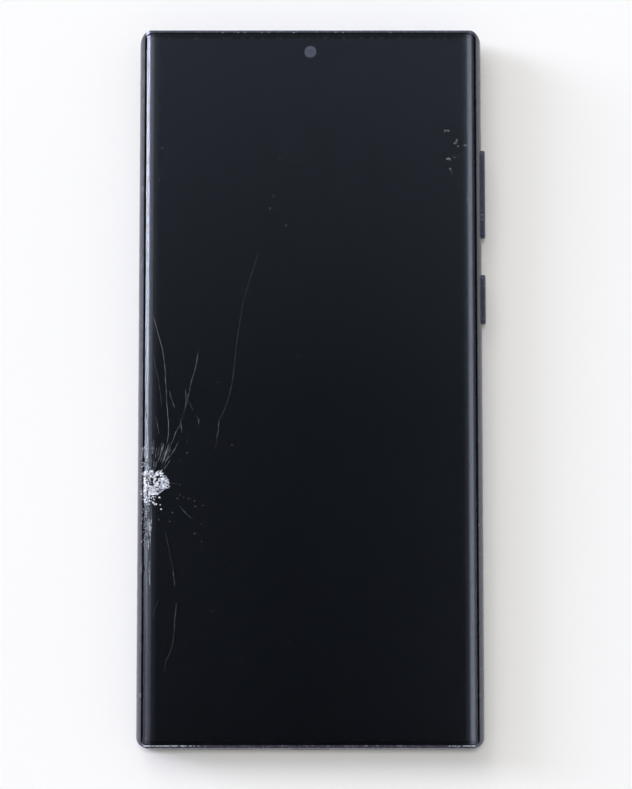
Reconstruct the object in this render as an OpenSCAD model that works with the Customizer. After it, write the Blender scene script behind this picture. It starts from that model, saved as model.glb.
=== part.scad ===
// Slab phone with glass that curves down along both long sides, its cover glass shattered
// at the left edge. X points right facing the screen, Y towards the top end and Z out of
// the screen. The origin is under the middle of the body, level with the faces of the rear
// camera rings that it lies on.

/* [Body] */
// Width across the two side rails
body_w = 77.9; // [76:0.1:96]
// Length from the bottom end to the top end
body_h = 163.3; // [160:0.1:200]
// Thickness from the rear glass to the cover glass
body_t = 8.9; // [8.6:0.1:11]
// Corner radius of the body in plan
corner_r = 3; // [2.5:0.1:4]
// Width of the metal rim beside the glass at the two ends
rim_w = 0.75; // [0.6:0.05:1]
// Radius of the rim's outer edge at the two ends
rim_edge_r = 0.6; // [0.3:0.1:0.8]
// Thickness of the wall at the two ends
end_wall_t = 2.3; // [2:0.1:3]
// Thickness of the side rails at mid height
rail_t = 2.55; // [2.4:0.05:3]
// Thickness of the plate between display and battery
plate_t = 0.6; // [0.4:0.1:1]

/* [Glass and display] */
// Thickness of both glasses
glass_t = 0.6; // [0.5:0.05:0.8]
// Outer radius of the side curve
edge_r = 3.3; // [3:0.1:3.6]
// Width of the curved zone and rail together, seen from the front
edge_zone = 3.6; // [3.5:0.05:4]
// Angle through which the glass curves down
edge_a = 40; // [38:1:56]
// Thickness of the display panel
panel_t = 0.9; // [0.7:0.1:1.1]
// Angle through which the display follows the curve
panel_a = 26; // [20:1:27]
// Distance from the body's end to the display panel's end
panel_end = 1.85; // [1.7:0.05:2.5]
// Thickness of the backing sheet behind the display
backing_t = 0.1; // [0.05:0.05:0.2]
// Thickness of the glue gaskets
gasket_t = 0.1; // [0.05:0.05:0.15]
// Radius of the camera hole in the display
punch_r = 1.55; // [1.3:0.05:2]
// Distance from the top end to the camera hole's centre
punch_from_top = 4.95; // [4.8:0.05:6]

/* [Rear cameras] */
// Height of the rings above the rear glass
ring_drop = 1.2; // [0.6:0.1:2]
// Outer radius of a ring
ring_r = 6.2; // [5.5:0.1:6.6]
// Distance from the right side to the column of rings
ring_from_side = 12.95; // [12.5:0.05:14]
// Distance from the top end to the first ring
ring_from_top = 13.25; // [12:0.25:16]
// Distance between rings
ring_pitch = 16.5; // [15.5:0.5:17.5]
// Side of a square camera module
module_w = 12; // [10:0.5:13]

/* [Keys] */
// Length of the volume rocker
rocker_l = 20.4; // [16:0.1:22]
// Distance from the top end to the rocker's middle
rocker_from_top = 37.4; // [36:0.05:39]
// Length of the power key
power_l = 11.4; // [9:0.1:13]
// Distance from the top end to the power key's middle
power_from_top = 61.65; // [60:0.05:64]
// Height of both keys
key_h = 2.3; // [1.8:0.1:2.6]
// How far the keys stand out of the rail
key_proud = 0.85; // [0.4:0.05:1]
// Travel of the power key
key_travel = 0.25; // [0.15:0.05:0.3]

/* [Stylus] */
// Width of the stylus
stylus_w = 5.8; // [5:0.1:6.2]
// Thickness of the stylus
stylus_t = 4.35; // [3.9:0.05:4.4]
// Length of the stylus from clicker to nib
stylus_l = 105.8; // [95:0.1:107]
// Wall of the stylus barrel
barrel_t = 0.7; // [0.6:0.05:0.8]
// Wall of the silo that holds the stylus
silo_t = 0.5; // [0.4:0.05:0.6]

/* [Sockets and boards] */
// Width of the card tray's door
door_w = 16.2; // [15.5:0.1:17]
// Height of the card tray's door
door_h = 2.9; // [2.6:0.1:3]
// Width of the charging socket's shell
socket_w = 8.94; // [8.9:0.01:9]
// Height of the charging socket's shell
socket_h = 3.26; // [3.2:0.01:3.3]
// Thickness of the circuit boards
board_t = 0.8; // [0.6:0.1:1]
// Width of the vibration motor
motor_w = 15; // [10:0.5:16]
// Radius of the cover screws' threads
screw_r = 0.6; // [0.5:0.05:0.7]

/* [Fits] */
// Gap between glass and rim
seat_gap = 0.08; // [0.05:0.01:0.12]
// Gap between glass and rail lip, as an angle on the curve
lip_gap_a = 4; // [2:0.5:5]
// Gap beside the display panel, as an angle on the curve
panel_gap_a = 2; // [1:0.5:3]
// Gap round moving pieces
slide_gap = 0.15; // [0.1:0.01:0.2]
// Gap round pieces that are placed and stay
set_gap = 0.1; // [0.05:0.01:0.15]
// Film of glue between curved faces
film_gap = 0.02; // [0.01:0.01:0.03]

/* [Hidden] */
$fn = 96;
cut = 1;

// Levels, from the rear glass to the cover glass
half_w = body_w / 2;
half_h = body_h / 2;
rear_z = ring_drop;
front_z = ring_drop + body_t;
mid_z = (rear_z + front_z) / 2;
panel_front_z = front_z - glass_t;
panel_rear_z = panel_front_z - panel_t;
plate_front_z = panel_rear_z - backing_t;
plate_rear_z = plate_front_z - plate_t;
bay_z = rear_z + glass_t;

// Side curve and rail
flat_x = half_w - edge_zone;
curve_z = front_z - edge_r;
edge_x = flat_x + edge_r * sin(edge_a);
rail_sag = half_w - edge_x;
rail_rise = curve_z + edge_r * cos(edge_a) - mid_z;
rail_r = (rail_sag * rail_sag + rail_rise * rail_rise) / (2 * rail_sag);

// Bay behind the plate
bay_x = half_w - rail_t;
bay_y = half_h - end_wall_t;
bay_r = 0.5;
panel_y = half_h - panel_end;

// Rear cameras
ring_x = half_w - ring_from_side;
ring_ys = [for (i = [0:2]) half_h - ring_from_top - i * ring_pitch];
ring_flange_r = ring_r + 1;
ring_flange_t = 0.4;
window_r = ring_r - 0.95;
window_t = 0.85;
throat_r = ring_r - 1.6;
flash_x = ring_x - 12.5;
flash_r = 2.8;
punch_y = half_h - punch_from_top;

// Boards and covers
board_edge_gap = 1.4;
chip_room = 2.6;
main_board_z = plate_rear_z - chip_room;
main_board_x0 = -bay_x + board_edge_gap;
main_board_x1 = ring_x - ring_flange_r - board_edge_gap;
main_board_y0 = ring_ys[2] - 6.9;
main_board_y1 = half_h - 11.65;
sub_board_top_z = mid_z - socket_h / 2;
sub_board_z = sub_board_top_z - board_t;
sub_board_x0 = -socket_w / 2 - 0.95;
sub_board_x1 = bay_x - board_edge_gap;
sub_board_y0 = -bay_y + 0.8;
sub_board_y1 = -half_h + 23.65;
cover_z = bay_z + 0.5;
cover_t = 0.5;
cover_top_z = cover_z + cover_t;
boss_r = 1.5;
boss_seat_r = 2.3;
screw_head_r = 1.2;
screw_l = 3.2;
boss_inset = 1.9;
upper_x0 = main_board_x0 + boss_inset;
upper_x1 = main_board_x1 - boss_inset;
upper_ys = [main_board_y0 + 2.5, (main_board_y0 + main_board_y1) / 2];
upper_bosses = [for (x = [upper_x0, upper_x1]) for (y = upper_ys) [x, y]];
crown_bosses = [for (x = [upper_x0, upper_x1]) [x, bay_y - 3.3]];
card_socket_w = door_w - 0.6;
side_boss_x = bay_x - 4;
card_x = side_boss_x - boss_seat_r - 0.25 - card_socket_w / 2;
lower_bosses = [
    [card_x - card_socket_w / 2 - 0.3 - boss_seat_r, sub_board_y1 - 4],
    [side_boss_x, sub_board_y1 - 4],
    [sub_board_x0 - boss_inset, sub_board_y0 + 2.6],
    [side_boss_x, sub_board_y0 + 2.6]
];

// Stylus and silo
silo_w = stylus_w + 2 * (slide_gap + silo_t);
stylus_x = -bay_x + 0.65 + silo_w / 2;
silo_h = stylus_t + 2 * (slide_gap + silo_t);
stylus_z = plate_rear_z - 0.1 - silo_h / 2;
stylus_y1 = -half_h + stylus_l;
silo_end_t = 0.9;
silo_y1 = stylus_y1 + 0.45;
clicker_l = 4.5;
barrel_y0 = -half_h + clicker_l + set_gap;
barrel_y1 = stylus_y1 - 8.2;
nib_r = 0.4;
button_l = 12;
button_w = stylus_w - 3.2;
button_y = barrel_y0 + 42;
bore_w = stylus_w - 2 * barrel_t;
bore_h = stylus_t - 2 * barrel_t;
stylus_board_w = bore_w - 0.8;

// Battery and what lies on it
battery_x0 = stylus_x + silo_w / 2 + 1.2;
battery_x1 = bay_x - 3.8;
battery_y0 = sub_board_y1 + 2.2;
battery_y1 = main_board_y0 - 2.5;
battery_z0 = bay_z + 0.6;
adhesive_t = 0.1;
battery_z1 = plate_rear_z - adhesive_t;
ferrite_w = 50;
ferrite_t = 0.25;
coil_t = 0.25;
coil_out_r = 22;
coil_in_r = 11;
ferrite_x = battery_x1 - ferrite_w / 2 - 1.5;
ferrite_y = (battery_y0 + battery_y1) / 2 + 6;
flex_t = 0.15;
ribbon_w = 4.2;
ribbon_x0 = battery_x0 + 0.4;

// Keys
rocker_y = half_h - rocker_from_top;
power_y = half_h - power_from_top;
flange_t = 0.4;
flange_h = key_h + 1;
rocker_gap = 0.3;
dome_t = 0.25;
dome_gap = 0.05;
dome_x = bay_x - rocker_gap - flange_t - key_travel - dome_gap - dome_t;
dome_r = 1.1;
bracket_t = 0.3;
bracket_y0 = power_y - power_l / 2 - 2;
bracket_y1 = rocker_y + rocker_l / 2 + 2;

// Card tray
tray_w = door_w - 2.6;
tray_t = 1.4;
door_t = 1;
tray_l = 18.9;
card_w = 8.8;
card_l = 12.3;
card_t = 0.67;
card_gap = 0.05;
pocket_from_door = 3.5;
eject_hole_r = 0.4;

// Loudspeaker and vibration motor
motor_x1 = lower_bosses[0][0] - boss_seat_r - 1;
motor_x0 = motor_x1 - motor_w;
speaker_x0 = stylus_x + silo_w / 2 + 1;
speaker_x1 = min(lower_bosses[2][0] - boss_seat_r, motor_x0) - set_gap;
speaker_x = (speaker_x0 + speaker_x1) / 2;
grille_w = 13;
grille_h = 1.5;
mesh_t = 0.15;
mic_x = (socket_w / 2 + card_x - card_socket_w / 2) / 2;
mic_hole_r = 0.45;

// Windows in the plate
chamber_x0 = main_board_x0 + 7;
chamber_x1 = main_board_x1 - 7.5;
chamber_y0 = main_board_y0 + 5.5;
chamber_y1 = main_board_y1 - 6;
sensor_w = 12;
sensor_t = 0.5;
sensor_y = -half_h + 36.5;
tail_w = 8;
tail_gap = 0.4;
tail_y = sub_board_y1 + 0.9;
tail_l = 13;

// Damage: outlines on the glass as [x, y] round the impact point
impact = [-half_w + 4.25, -22.3];
pit_depth = 0.3;
pit_outline = [
    [-3, -2.9], [-1.8, -4.2], [-0.6, -3.1], [0.3, -3.3], [0.9, -1.7], [2.4, -1.2], [3.4, 0.1],
    [2.2, 0.9], [1.9, 2.3], [0.6, 2.6], [0.1, 4], [-1.5, 3.7], [-3, 4.4]
];
edge_chips = [[4.9, 2.6], [-5.3, 3.4], [-11.4, 1.6], [-19.2, 2.2]];
chip_depth = 0.5;
crack_w = 0.08;
crack_depth = 0.15;
cracks = [
    [[0.2, 4], [1.9, 9.6], [1.8, 17.7], [1.2, 25.8], [-0.3, 34.6]],
    [[0.9, 3.5], [3.2, 7.9], [5.2, 13.1], [7, 20.3], [8.6, 28.7]],
    [[12.4, 8.2], [13.8, 14.4], [16.5, 22.6], [18.1, 34.6], [20.8, 44.2]],
    [[2.2, -3.6], [8.2, -7.8]],
    [[1.5, -12], [3.5, -22.3]],
    [[4, -26.5], [3.4, -33.5], [1.6, -39]]
];

case_colour = [0.42, 0.41, 0.45];
board_colour = [0.1, 0.3, 0.2];
black = [0.06, 0.06, 0.07];

// Point at angle a from straight up
function polar(r, a) = [r * sin(a), r * cos(a)];

// Copies on the left and right
module both_sides() {
    children();
    mirror([1, 0, 0]) children();
}

// The rear counterpart of a piece drawn for the front
module flipped() {
    translate([0, 0, 2 * mid_z]) mirror([0, 0, 1]) children();
}

// Section in X and Z, run along Y about the middle
module along_y(l) {
    rotate([90, 0, 0]) linear_extrude(l, center = true) children();
}

// Section in X and Z, run along Y from y0 to y1
module run_y(y0, y1) {
    translate([0, y1, 0]) rotate([90, 0, 0]) linear_extrude(y1 - y0) children();
}

// Plain block between two corners
module block(x0, x1, y0, y1, z0, z1) {
    translate([x0, y0, z0]) cube([x1 - x0, y1 - y0, z1 - z0]);
}

// Rectangle with round corners about the middle
module round_rect(hw, hh, r) {
    square([2 * hw, 2 * (hh - r)], center = true);
    square([2 * (hw - r), 2 * hh], center = true);
    for (x = [-1, 1]) for (y = [-1, 1]) translate([x * (hw - r), y * (hh - r)]) circle(r);
}

// Upright block with round corners in plan
module plan_block(hw, hh, r, z0, z1) {
    translate([0, 0, z0]) linear_extrude(z1 - z0) round_rect(hw, hh, r);
}

// Slot outline with half-round ends
module slot(w, h) {
    square([w - h, h], center = true);
    for (s = [-1, 1]) translate([s * (w - h) / 2, 0]) circle(h / 2);
}

// Bar of slot section along Y
module slot_bar(x, z, w, h, y0, y1) {
    run_y(y0, y1) translate([x, z]) slot(w, h);
}

// Upright cylinder
module post(x, y, r, z0, z1) {
    translate([x, y, z0]) cylinder(r = r, h = z1 - z0);
}

// Wedge of the side curve from straight up to angle a
module wedge(a) {
    reach = 3 * edge_r;
    polygon([[0, 0], polar(reach, 0), polar(1.5 * reach, a / 2), polar(reach, a)]);
}

// Layer under the front surface from depth d0 to d1, down the curve to angle a
module skin_section(d0, d1, a) {
    translate([-flat_x, front_z - d1]) square([2 * flat_x, d1 - d0]);
    both_sides() translate([flat_x, curve_z]) intersection() {
        difference() {
            circle(edge_r - d0);
            circle(edge_r - d1);
        }
        wedge(a);
    }
}

// Outer section of the whole body
module body_section() {
    corner = [flat_x, curve_z];
    lip = corner + polar(2 * edge_r, edge_a);
    translate([-flat_x, rear_z]) square([2 * flat_x, body_t]);
    both_sides() {
        for (z = [curve_z, rear_z + edge_r]) {
            translate([flat_x, z]) mirror([0, z < mid_z ? 1 : 0]) intersection() {
                circle(edge_r);
                wedge(edge_a);
            }
        }
        intersection() {
            translate([half_w - rail_r, mid_z]) circle(rail_r);
            polygon([corner, lip, [lip[0], 2 * mid_z - lip[1]], [flat_x, 2 * mid_z - curve_z]]);
        }
    }
}

// Outer form of the body
module body_form() {
    intersection() {
        along_y(body_h + 2) body_section();
        plan_block(half_w, half_h, corner_r, rear_z - cut, front_z + cut);
        rotate([90, 0, 90]) linear_extrude(body_w + 2, center = true)
            translate([0, mid_z]) round_rect(half_h, body_t / 2, rim_edge_r);
    }
}

// Room that a glass and its gasket take out of the frame
module glass_seat() {
    inset = rim_w - seat_gap;
    intersection() {
        along_y(body_h) skin_section(-cut, glass_t + gasket_t, edge_a + lip_gap_a);
        plan_block(half_w - inset, half_h - inset, corner_r - inset, mid_z, front_z + 2 * cut);
    }
}

// Room that the display and its backing take out of the frame
module panel_seat() {
    along_y(2 * (panel_y + set_gap))
        skin_section(-cut, glass_t + panel_t + backing_t, panel_a + panel_gap_a);
}

// Plate of glass, drawn for the front
module glass_form() {
    intersection() {
        along_y(body_h) skin_section(0, glass_t, edge_a);
        plan_block(half_w - rim_w, half_h - rim_w, corner_r - rim_w, mid_z, front_z + cut);
    }
}

// Glue under the rim of a glass, drawn for the front
module gasket_form() {
    intersection() {
        along_y(body_h) skin_section(glass_t + film_gap, glass_t + gasket_t - film_gap, edge_a);
        plan_block(half_w - rim_w, half_h - rim_w, corner_r - rim_w, mid_z, front_z + cut);
    }
}

// Rails, end walls and plate before any piece is fitted
module frame_form() {
    difference() {
        body_form();
        glass_seat();
        flipped() glass_seat();
        panel_seat();
        plan_block(bay_x, bay_y, bay_r, rear_z - cut, plate_rear_z);
    }
}

// Slices of the rails that the antenna splits take
module split_slabs() {
    split_w = 1;
    split_from_end = 11.85;
    both_sides() for (s = [-1, 1]) {
        y = s * (half_h - split_from_end);
        block(bay_x, half_w + cut, y - split_w / 2, y + split_w / 2, rear_z - cut, front_z + cut);
    }
}

module cover_glass() {
    color(black, 0.5) difference() {
        glass_form();
        translate([impact[0], impact[1], front_z - pit_depth]) linear_extrude(2) polygon(pit_outline);
        for (c = edge_chips) translate([-edge_x, impact[1] + c[0], curve_z]) edge_chip(c[1]);
        for (line = cracks) for (i = [1:len(line) - 1]) crack_cut(line[i - 1], line[i]);
    }
}

// Bite out of the glass edge, as long as l at the edge
module edge_chip(l) {
    linear_extrude(edge_r)
        polygon([[-1, -l / 2], [chip_depth, -l / 6], [chip_depth * 0.7, l / 5], [-1, l / 2]]);
}

// Straight stretch of crack between two points round the impact
module crack_cut(a, b) {
    run = b - a;
    translate([impact[0] + a[0], impact[1] + a[1], front_z - crack_depth])
        rotate([0, 0, atan2(run[1], run[0])])
            translate([0, -crack_w / 2, 0]) cube([norm(run), crack_w, 1]);
}

module display_panel() {
    color([0.03, 0.03, 0.05]) difference() {
        along_y(2 * panel_y) skin_section(glass_t + film_gap, glass_t + panel_t, panel_a);
        post(0, punch_y, punch_r, plate_rear_z, front_z);
    }
}

module backing_sheet() {
    x = flat_x;
    y = panel_y - 0.5;
    color([0.3, 0.2, 0.15]) difference() {
        block(-x, x, -y, y, plate_front_z, panel_rear_z);
        post(0, punch_y, punch_r, plate_rear_z, front_z);
        sensor_window();
        tail_window(tail_y - tail_l - 0.3, tail_y + 0.3);
    }
}

module front_gasket() {
    color("dimgray") difference() {
        gasket_form();
        panel_seat();
    }
}

module rear_gasket() {
    color("dimgray") difference() {
        flipped() gasket_form();
        plan_block(bay_x, bay_y, bay_r, rear_z - cut, plate_rear_z);
    }
}

// Opening in the plate and backing for the fingerprint sensor
module sensor_window() {
    w = sensor_w / 2 + set_gap;
    block(-w, w, sensor_y - w, sensor_y + w, plate_rear_z - cut, front_z);
}

// Opening in the plate and backing for the display's tail
module tail_window(y0, y1) {
    w = tail_w / 2 + tail_gap;
    block(-w, w, y0, y1, plate_rear_z - cut, front_z);
}

// Openings through the bottom wall
module bottom_openings() {
    y0 = -half_h - cut;
    y1 = -bay_y + cut / 10;
    slot_bar(0, mid_z, socket_w + 2 * set_gap, socket_h + 2 * set_gap, y0, y1);
    slot_bar(speaker_x, mid_z, grille_w, grille_h, y0, y1);
    slot_bar(stylus_x, stylus_z, stylus_w + 2 * slide_gap, stylus_t + 2 * slide_gap, y0, y1);
    slot_bar(card_x, mid_z, door_w + 2 * set_gap, door_h + 2 * set_gap, y0, -half_h + door_t + set_gap);
    w = tray_w / 2 + slide_gap;
    h = tray_t / 2 + slide_gap;
    block(card_x - w, card_x + w, -half_h, y1, mid_z - h, mid_z + h);
    translate([mic_x, y1, mid_z]) rotate([90, 0, 0])
        cylinder(r = mic_hole_r, h = end_wall_t + 2 * cut);
}

// Slot through the right rail for a key
module key_opening(y, l) {
    translate([bay_x - cut / 10, y, mid_z]) rotate([90, 0, 90]) linear_extrude(rail_t + cut)
        slot(l + 2 * slide_gap, key_h + 2 * slide_gap);
}

// Boss with a seat for a board and a threaded hole for a cover screw
module boss(p, seat_z) {
    difference() {
        union() {
            post(p[0], p[1], boss_seat_r, seat_z, plate_rear_z + plate_t / 2);
            post(p[0], p[1], boss_r, cover_top_z, seat_z + cut / 10);
        }
        post(p[0], p[1], screw_r + 0.02, cover_top_z - cut, cover_top_z + screw_l);
    }
}

module mid_frame() {
    color(case_colour) {
        difference() {
            frame_form();
            split_slabs();
            bottom_openings();
            key_opening(rocker_y, rocker_l);
            key_opening(power_y, power_l);
            post(0, punch_y, punch_r, plate_rear_z - cut, front_z);
            sensor_window();
            block(chamber_x0, chamber_x1, chamber_y0, chamber_y1, plate_rear_z - cut, front_z);
            tail_window(tail_y - 0.5, tail_y + 0.5);
        }
        for (p = upper_bosses) boss(p, main_board_z + board_t);
        for (p = crown_bosses) boss(p, main_board_z + board_t);
        for (p = lower_bosses) boss(p, sub_board_top_z);
    }
}

module antenna_splits() {
    color([0.3, 0.3, 0.33]) intersection() {
        frame_form();
        split_slabs();
    }
}

module rear_glass() {
    color(case_colour) difference() {
        flipped() glass_form();
        for (y = ring_ys) post(ring_x, y, ring_r + set_gap, rear_z - cut, bay_z + cut);
        post(flash_x, ring_ys[0], flash_r + set_gap, rear_z - cut, bay_z + cut);
    }
}

// Metal ring that stands out of the rear glass, with a step for its window
module camera_ring(y) {
    color(case_colour) difference() {
        union() {
            post(ring_x, y, ring_r, 0, bay_z + ring_flange_t);
            post(ring_x, y, ring_flange_r, bay_z, bay_z + ring_flange_t);
        }
        post(ring_x, y, window_r + 0.05, -cut, window_t + 0.1);
        post(ring_x, y, throat_r, 0, bay_z + cut);
    }
}

module camera_ring_upper() { camera_ring(ring_ys[0]); }
module camera_ring_middle() { camera_ring(ring_ys[1]); }
module camera_ring_lower() { camera_ring(ring_ys[2]); }

module camera_window(y) {
    color(black) post(ring_x, y, window_r, 0.1, window_t + 0.1);
}

module camera_window_upper() { camera_window(ring_ys[0]); }
module camera_window_middle() { camera_window(ring_ys[1]); }
module camera_window_lower() { camera_window(ring_ys[2]); }

// Sealed camera: housing on the plate, barrel inside the ring
module camera_module(y) {
    w = module_w / 2;
    housing_z = bay_z + ring_flange_t + 0.3;
    color("gray") {
        block(ring_x - w, ring_x + w, y - w, y + w, housing_z, plate_rear_z);
        difference() {
            post(ring_x, y, throat_r - 0.4, window_t + 0.3, housing_z + cut / 10);
            post(ring_x, y, throat_r - 1.6, 0, window_t + 0.7);
        }
    }
}

module camera_module_upper() { camera_module(ring_ys[0]); }
module camera_module_middle() { camera_module(ring_ys[1]); }
module camera_module_lower() { camera_module(ring_ys[2]); }

module flash_lens() {
    color("white") {
        post(flash_x, ring_ys[0], flash_r, rear_z, bay_z + 0.3);
        post(flash_x, ring_ys[0], flash_r + 0.6, bay_z, bay_z + 0.3);
    }
}

module front_camera() {
    w = 2.5;
    color("gray") {
        block(-w, w, punch_y - w, punch_y + w, plate_rear_z - 2.5, plate_rear_z);
        post(0, punch_y, punch_r - 0.15, plate_rear_z - cut / 10, panel_front_z - 0.15);
    }
}

module earpiece() {
    x1 = -5;
    y1 = bay_y - 0.6;
    color("dimgray") block(x1 - 10, x1, y1 - 7, y1, plate_rear_z - 3, plate_rear_z);
}

module vapour_chamber() {
    g = set_gap;
    color([0.72, 0.45, 0.3]) block(chamber_x0 + g, chamber_x1 - g, chamber_y0 + g, chamber_y1 - g,
        plate_rear_z + 0.1, plate_front_z);
}

module fingerprint_sensor() {
    w = sensor_w / 2;
    color("black") block(-w, w, sensor_y - w, sensor_y + w, panel_rear_z - sensor_t, panel_rear_z);
}

module main_board() {
    color(board_colour) difference() {
        block(main_board_x0, main_board_x1, main_board_y0, main_board_y1, main_board_z,
            main_board_z + board_t);
        for (p = upper_bosses)
            post(p[0], p[1], boss_r + set_gap, main_board_z - cut, main_board_z + 2 * cut);
    }
}

// Middle of the shielded area of the main board
function shield_middle() = [(main_board_x0 + main_board_x1) / 2, (main_board_y0 + main_board_y1) / 2];

module processor() {
    c = shield_middle();
    w = 7.5;
    z = main_board_z + board_t;
    color("black") block(c[0] - w, c[0] + w, c[1] - w, c[1] + w, z, z + 1.1);
}

module memory_chip() {
    c = shield_middle();
    color("black") block(c[0] - 6.5, c[0] + 6.5, c[1] - 5.5, c[1] + 5.5, main_board_z - 1, main_board_z);
}

module board_shield() {
    c = shield_middle();
    w = 13;
    t = 0.2;
    inner_w = w - t;
    z = main_board_z + board_t;
    roof_z = plate_rear_z - 0.3;
    color("silver") difference() {
        block(c[0] - w, c[0] + w, c[1] - w, c[1] + w, z, roof_z);
        block(c[0] - inner_w, c[0] + inner_w, c[1] - inner_w, c[1] + inner_w, z - cut, roof_z - t);
    }
}

// Plastic cover with countersunk screw holes
module bay_cover(x0, x1, y0, y1, points) {
    color([0.15, 0.15, 0.16]) difference() {
        block(x0, x1, y0, y1, cover_z, cover_top_z);
        for (p = points) {
            post(p[0], p[1], screw_head_r + set_gap, cover_z - cut, cover_z + 0.25);
            post(p[0], p[1], screw_r + set_gap, cover_z - cut, cover_top_z + cut);
        }
    }
}

module upper_cover() {
    bosses = concat(upper_bosses, crown_bosses);
    difference() {
        bay_cover(main_board_x0, main_board_x1, main_board_y0, bay_y - 0.3, bosses);
        color(black) post(flash_x, ring_ys[0], flash_r + 1.2, cover_z - cut, cover_top_z + cut);
    }
}

module lower_cover() {
    bay_cover(speaker_x0, bay_x - 1.5, -bay_y + 0.3, sub_board_y1 - 2.4, lower_bosses);
}

module cover_screws() {
    color("silver") for (p = concat(upper_bosses, crown_bosses, lower_bosses)) {
        post(p[0], p[1], screw_head_r, cover_z - 0.15, cover_z + 0.25);
        post(p[0], p[1], screw_r, cover_z + 0.2, cover_top_z + screw_l - 0.3);
    }
}

module battery() {
    color([0.12, 0.12, 0.13])
        block(battery_x0, battery_x1, battery_y0, battery_y1, battery_z0, battery_z1);
}

module battery_adhesive() {
    color("white") for (x = [battery_x0 + 5, battery_x1 - 17]) {
        block(x, x + 12, battery_y0 + 22, battery_y1 - 6, battery_z1, plate_rear_z);
    }
}

module ferrite_sheet() {
    w = ferrite_w / 2;
    color([0.25, 0.25, 0.27]) block(ferrite_x - w, ferrite_x + w, ferrite_y - w, ferrite_y + w,
        battery_z0 - ferrite_t, battery_z0);
}

module charging_coil() {
    z = battery_z0 - ferrite_t;
    color([0.8, 0.5, 0.3]) difference() {
        post(ferrite_x, ferrite_y, coil_out_r, z - coil_t, z);
        post(ferrite_x, ferrite_y, coil_in_r, battery_z0 - cut, battery_z0);
    }
}

// Ribbon that runs over the battery from the main board to the sub board
module interconnect_flex() {
    t = flex_t;
    x0 = ribbon_x0;
    x1 = x0 + ribbon_w;
    z0 = battery_z0 - t;
    foot_x = sub_board_x0 + 0.4;
    top_y = battery_y1 + 0.4;
    low_y = battery_y0 - 0.3;
    color([0.75, 0.5, 0.15]) {
        block(x0, x1, low_y - 3, top_y + t, z0, battery_z0);
        block(x0, x1, top_y, top_y + t, z0, main_board_z);
        block(x0, x1, top_y, main_board_y0 + 4.5, main_board_z - t, main_board_z);
        block(x0, foot_x + 4, low_y - 3, low_y - 0.6, z0, battery_z0);
        block(foot_x, foot_x + 4, low_y - 3, low_y - 3 + t, z0, sub_board_z);
        block(foot_x, foot_x + 4, low_y - 7, low_y - 3 + t, sub_board_z - t, sub_board_z);
    }
}

// Tail of the display, through the plate and down to the sub board
module display_flex() {
    t = 0.1;
    x = tail_w / 2;
    color([0.75, 0.5, 0.15]) {
        block(-x, x, tail_y - tail_l, tail_y + t, panel_rear_z - t, panel_rear_z);
        block(-x, x, tail_y, tail_y + t, sub_board_top_z, panel_rear_z);
        block(-x, x, sub_board_y1 - 3, tail_y + t, sub_board_top_z, sub_board_top_z + t);
    }
}

module sub_board() {
    color(board_colour) difference() {
        block(sub_board_x0, sub_board_x1, sub_board_y0, sub_board_y1, sub_board_z, sub_board_top_z);
        for (p = lower_bosses)
            post(p[0], p[1], boss_r + set_gap, sub_board_z - cut, sub_board_top_z + cut);
    }
}

module socket_shell() {
    wall = 0.3;
    y0 = -half_h + 0.5;
    color("silver") difference() {
        slot_bar(0, mid_z, socket_w, socket_h, y0, y0 + 7.3);
        slot_bar(0, mid_z, socket_w - 2 * wall, socket_h - 2 * wall, y0 - cut, y0 + 6.8);
    }
}

module socket_tongue() {
    y0 = -half_h + 1.2;
    y1 = -half_h + 7.3;
    color("black") {
        block(-3.35, 3.35, y0, y1, mid_z - 0.35, mid_z + 0.35);
        slot_bar(0, mid_z, socket_w - 0.7, socket_h - 0.7, y1 - 1, y1);
    }
}

module loudspeaker() {
    y0 = -bay_y + 0.4;
    snout_w = 6;
    color([0.1, 0.1, 0.1]) {
        block(speaker_x0, speaker_x1, y0, sub_board_y1 - 0.5, cover_top_z + 0.1, plate_rear_z);
        block(speaker_x - snout_w, speaker_x + snout_w, -bay_y, y0, mid_z - 1.4, mid_z + 1.4);
    }
}

module speaker_mesh() {
    y = -half_h + 1.1;
    color("black") slot_bar(speaker_x, mid_z, grille_w, grille_h, y, y + mesh_t);
}

module bottom_microphone() {
    w = 1.75;
    y0 = sub_board_y0;
    color("silver") block(mic_x - w, mic_x + w, y0, y0 + 2.5, sub_board_top_z, mid_z + 0.9);
}

module vibration_motor() {
    y1 = sub_board_y1 - 2.3;
    color("silver") block(motor_x0, motor_x1, y1 - 8.7, y1, mid_z - 1.15, plate_rear_z);
}

module card_socket() {
    w = card_socket_w / 2;
    inner_w = tray_w / 2 + slide_gap;
    y1 = sub_board_y1 - 1.8;
    color("silver") difference() {
        block(card_x - w, card_x + w, -bay_y + 0.1, y1, sub_board_top_z, mid_z + 1.35);
        block(card_x - inner_w, card_x + inner_w, -half_h, y1 - 0.4,
            mid_z - tray_t / 2 - slide_gap, mid_z + tray_t / 2 + slide_gap);
    }
}

// Floor level of the pocket for the card
function card_floor_z() = mid_z + tray_t / 2 - card_t - 0.1;

module card_tray() {
    y0 = -half_h + door_t;
    w = tray_w / 2;
    pocket_w = card_l / 2 + card_gap;
    pocket_y = y0 + pocket_from_door;
    window_w = card_l / 2 - 1;
    color(case_colour) difference() {
        union() {
            slot_bar(card_x, mid_z, door_w, door_h, -half_h, y0);
            block(card_x - w, card_x + w, y0 - 0.2, y0 + tray_l, mid_z - tray_t / 2, mid_z + tray_t / 2);
        }
        block(card_x - pocket_w, card_x + pocket_w, pocket_y, pocket_y + card_w + 2 * card_gap,
            card_floor_z(), mid_z + tray_t);
        block(card_x - window_w, card_x + window_w, pocket_y + 1, pocket_y + card_w - 1,
            mid_z - tray_t, mid_z + tray_t);
        translate([card_x - door_w / 2 + door_h / 2, y0 + cut / 10, mid_z]) rotate([90, 0, 0])
            cylinder(r = eject_hole_r, h = door_t + cut);
    }
}

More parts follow.
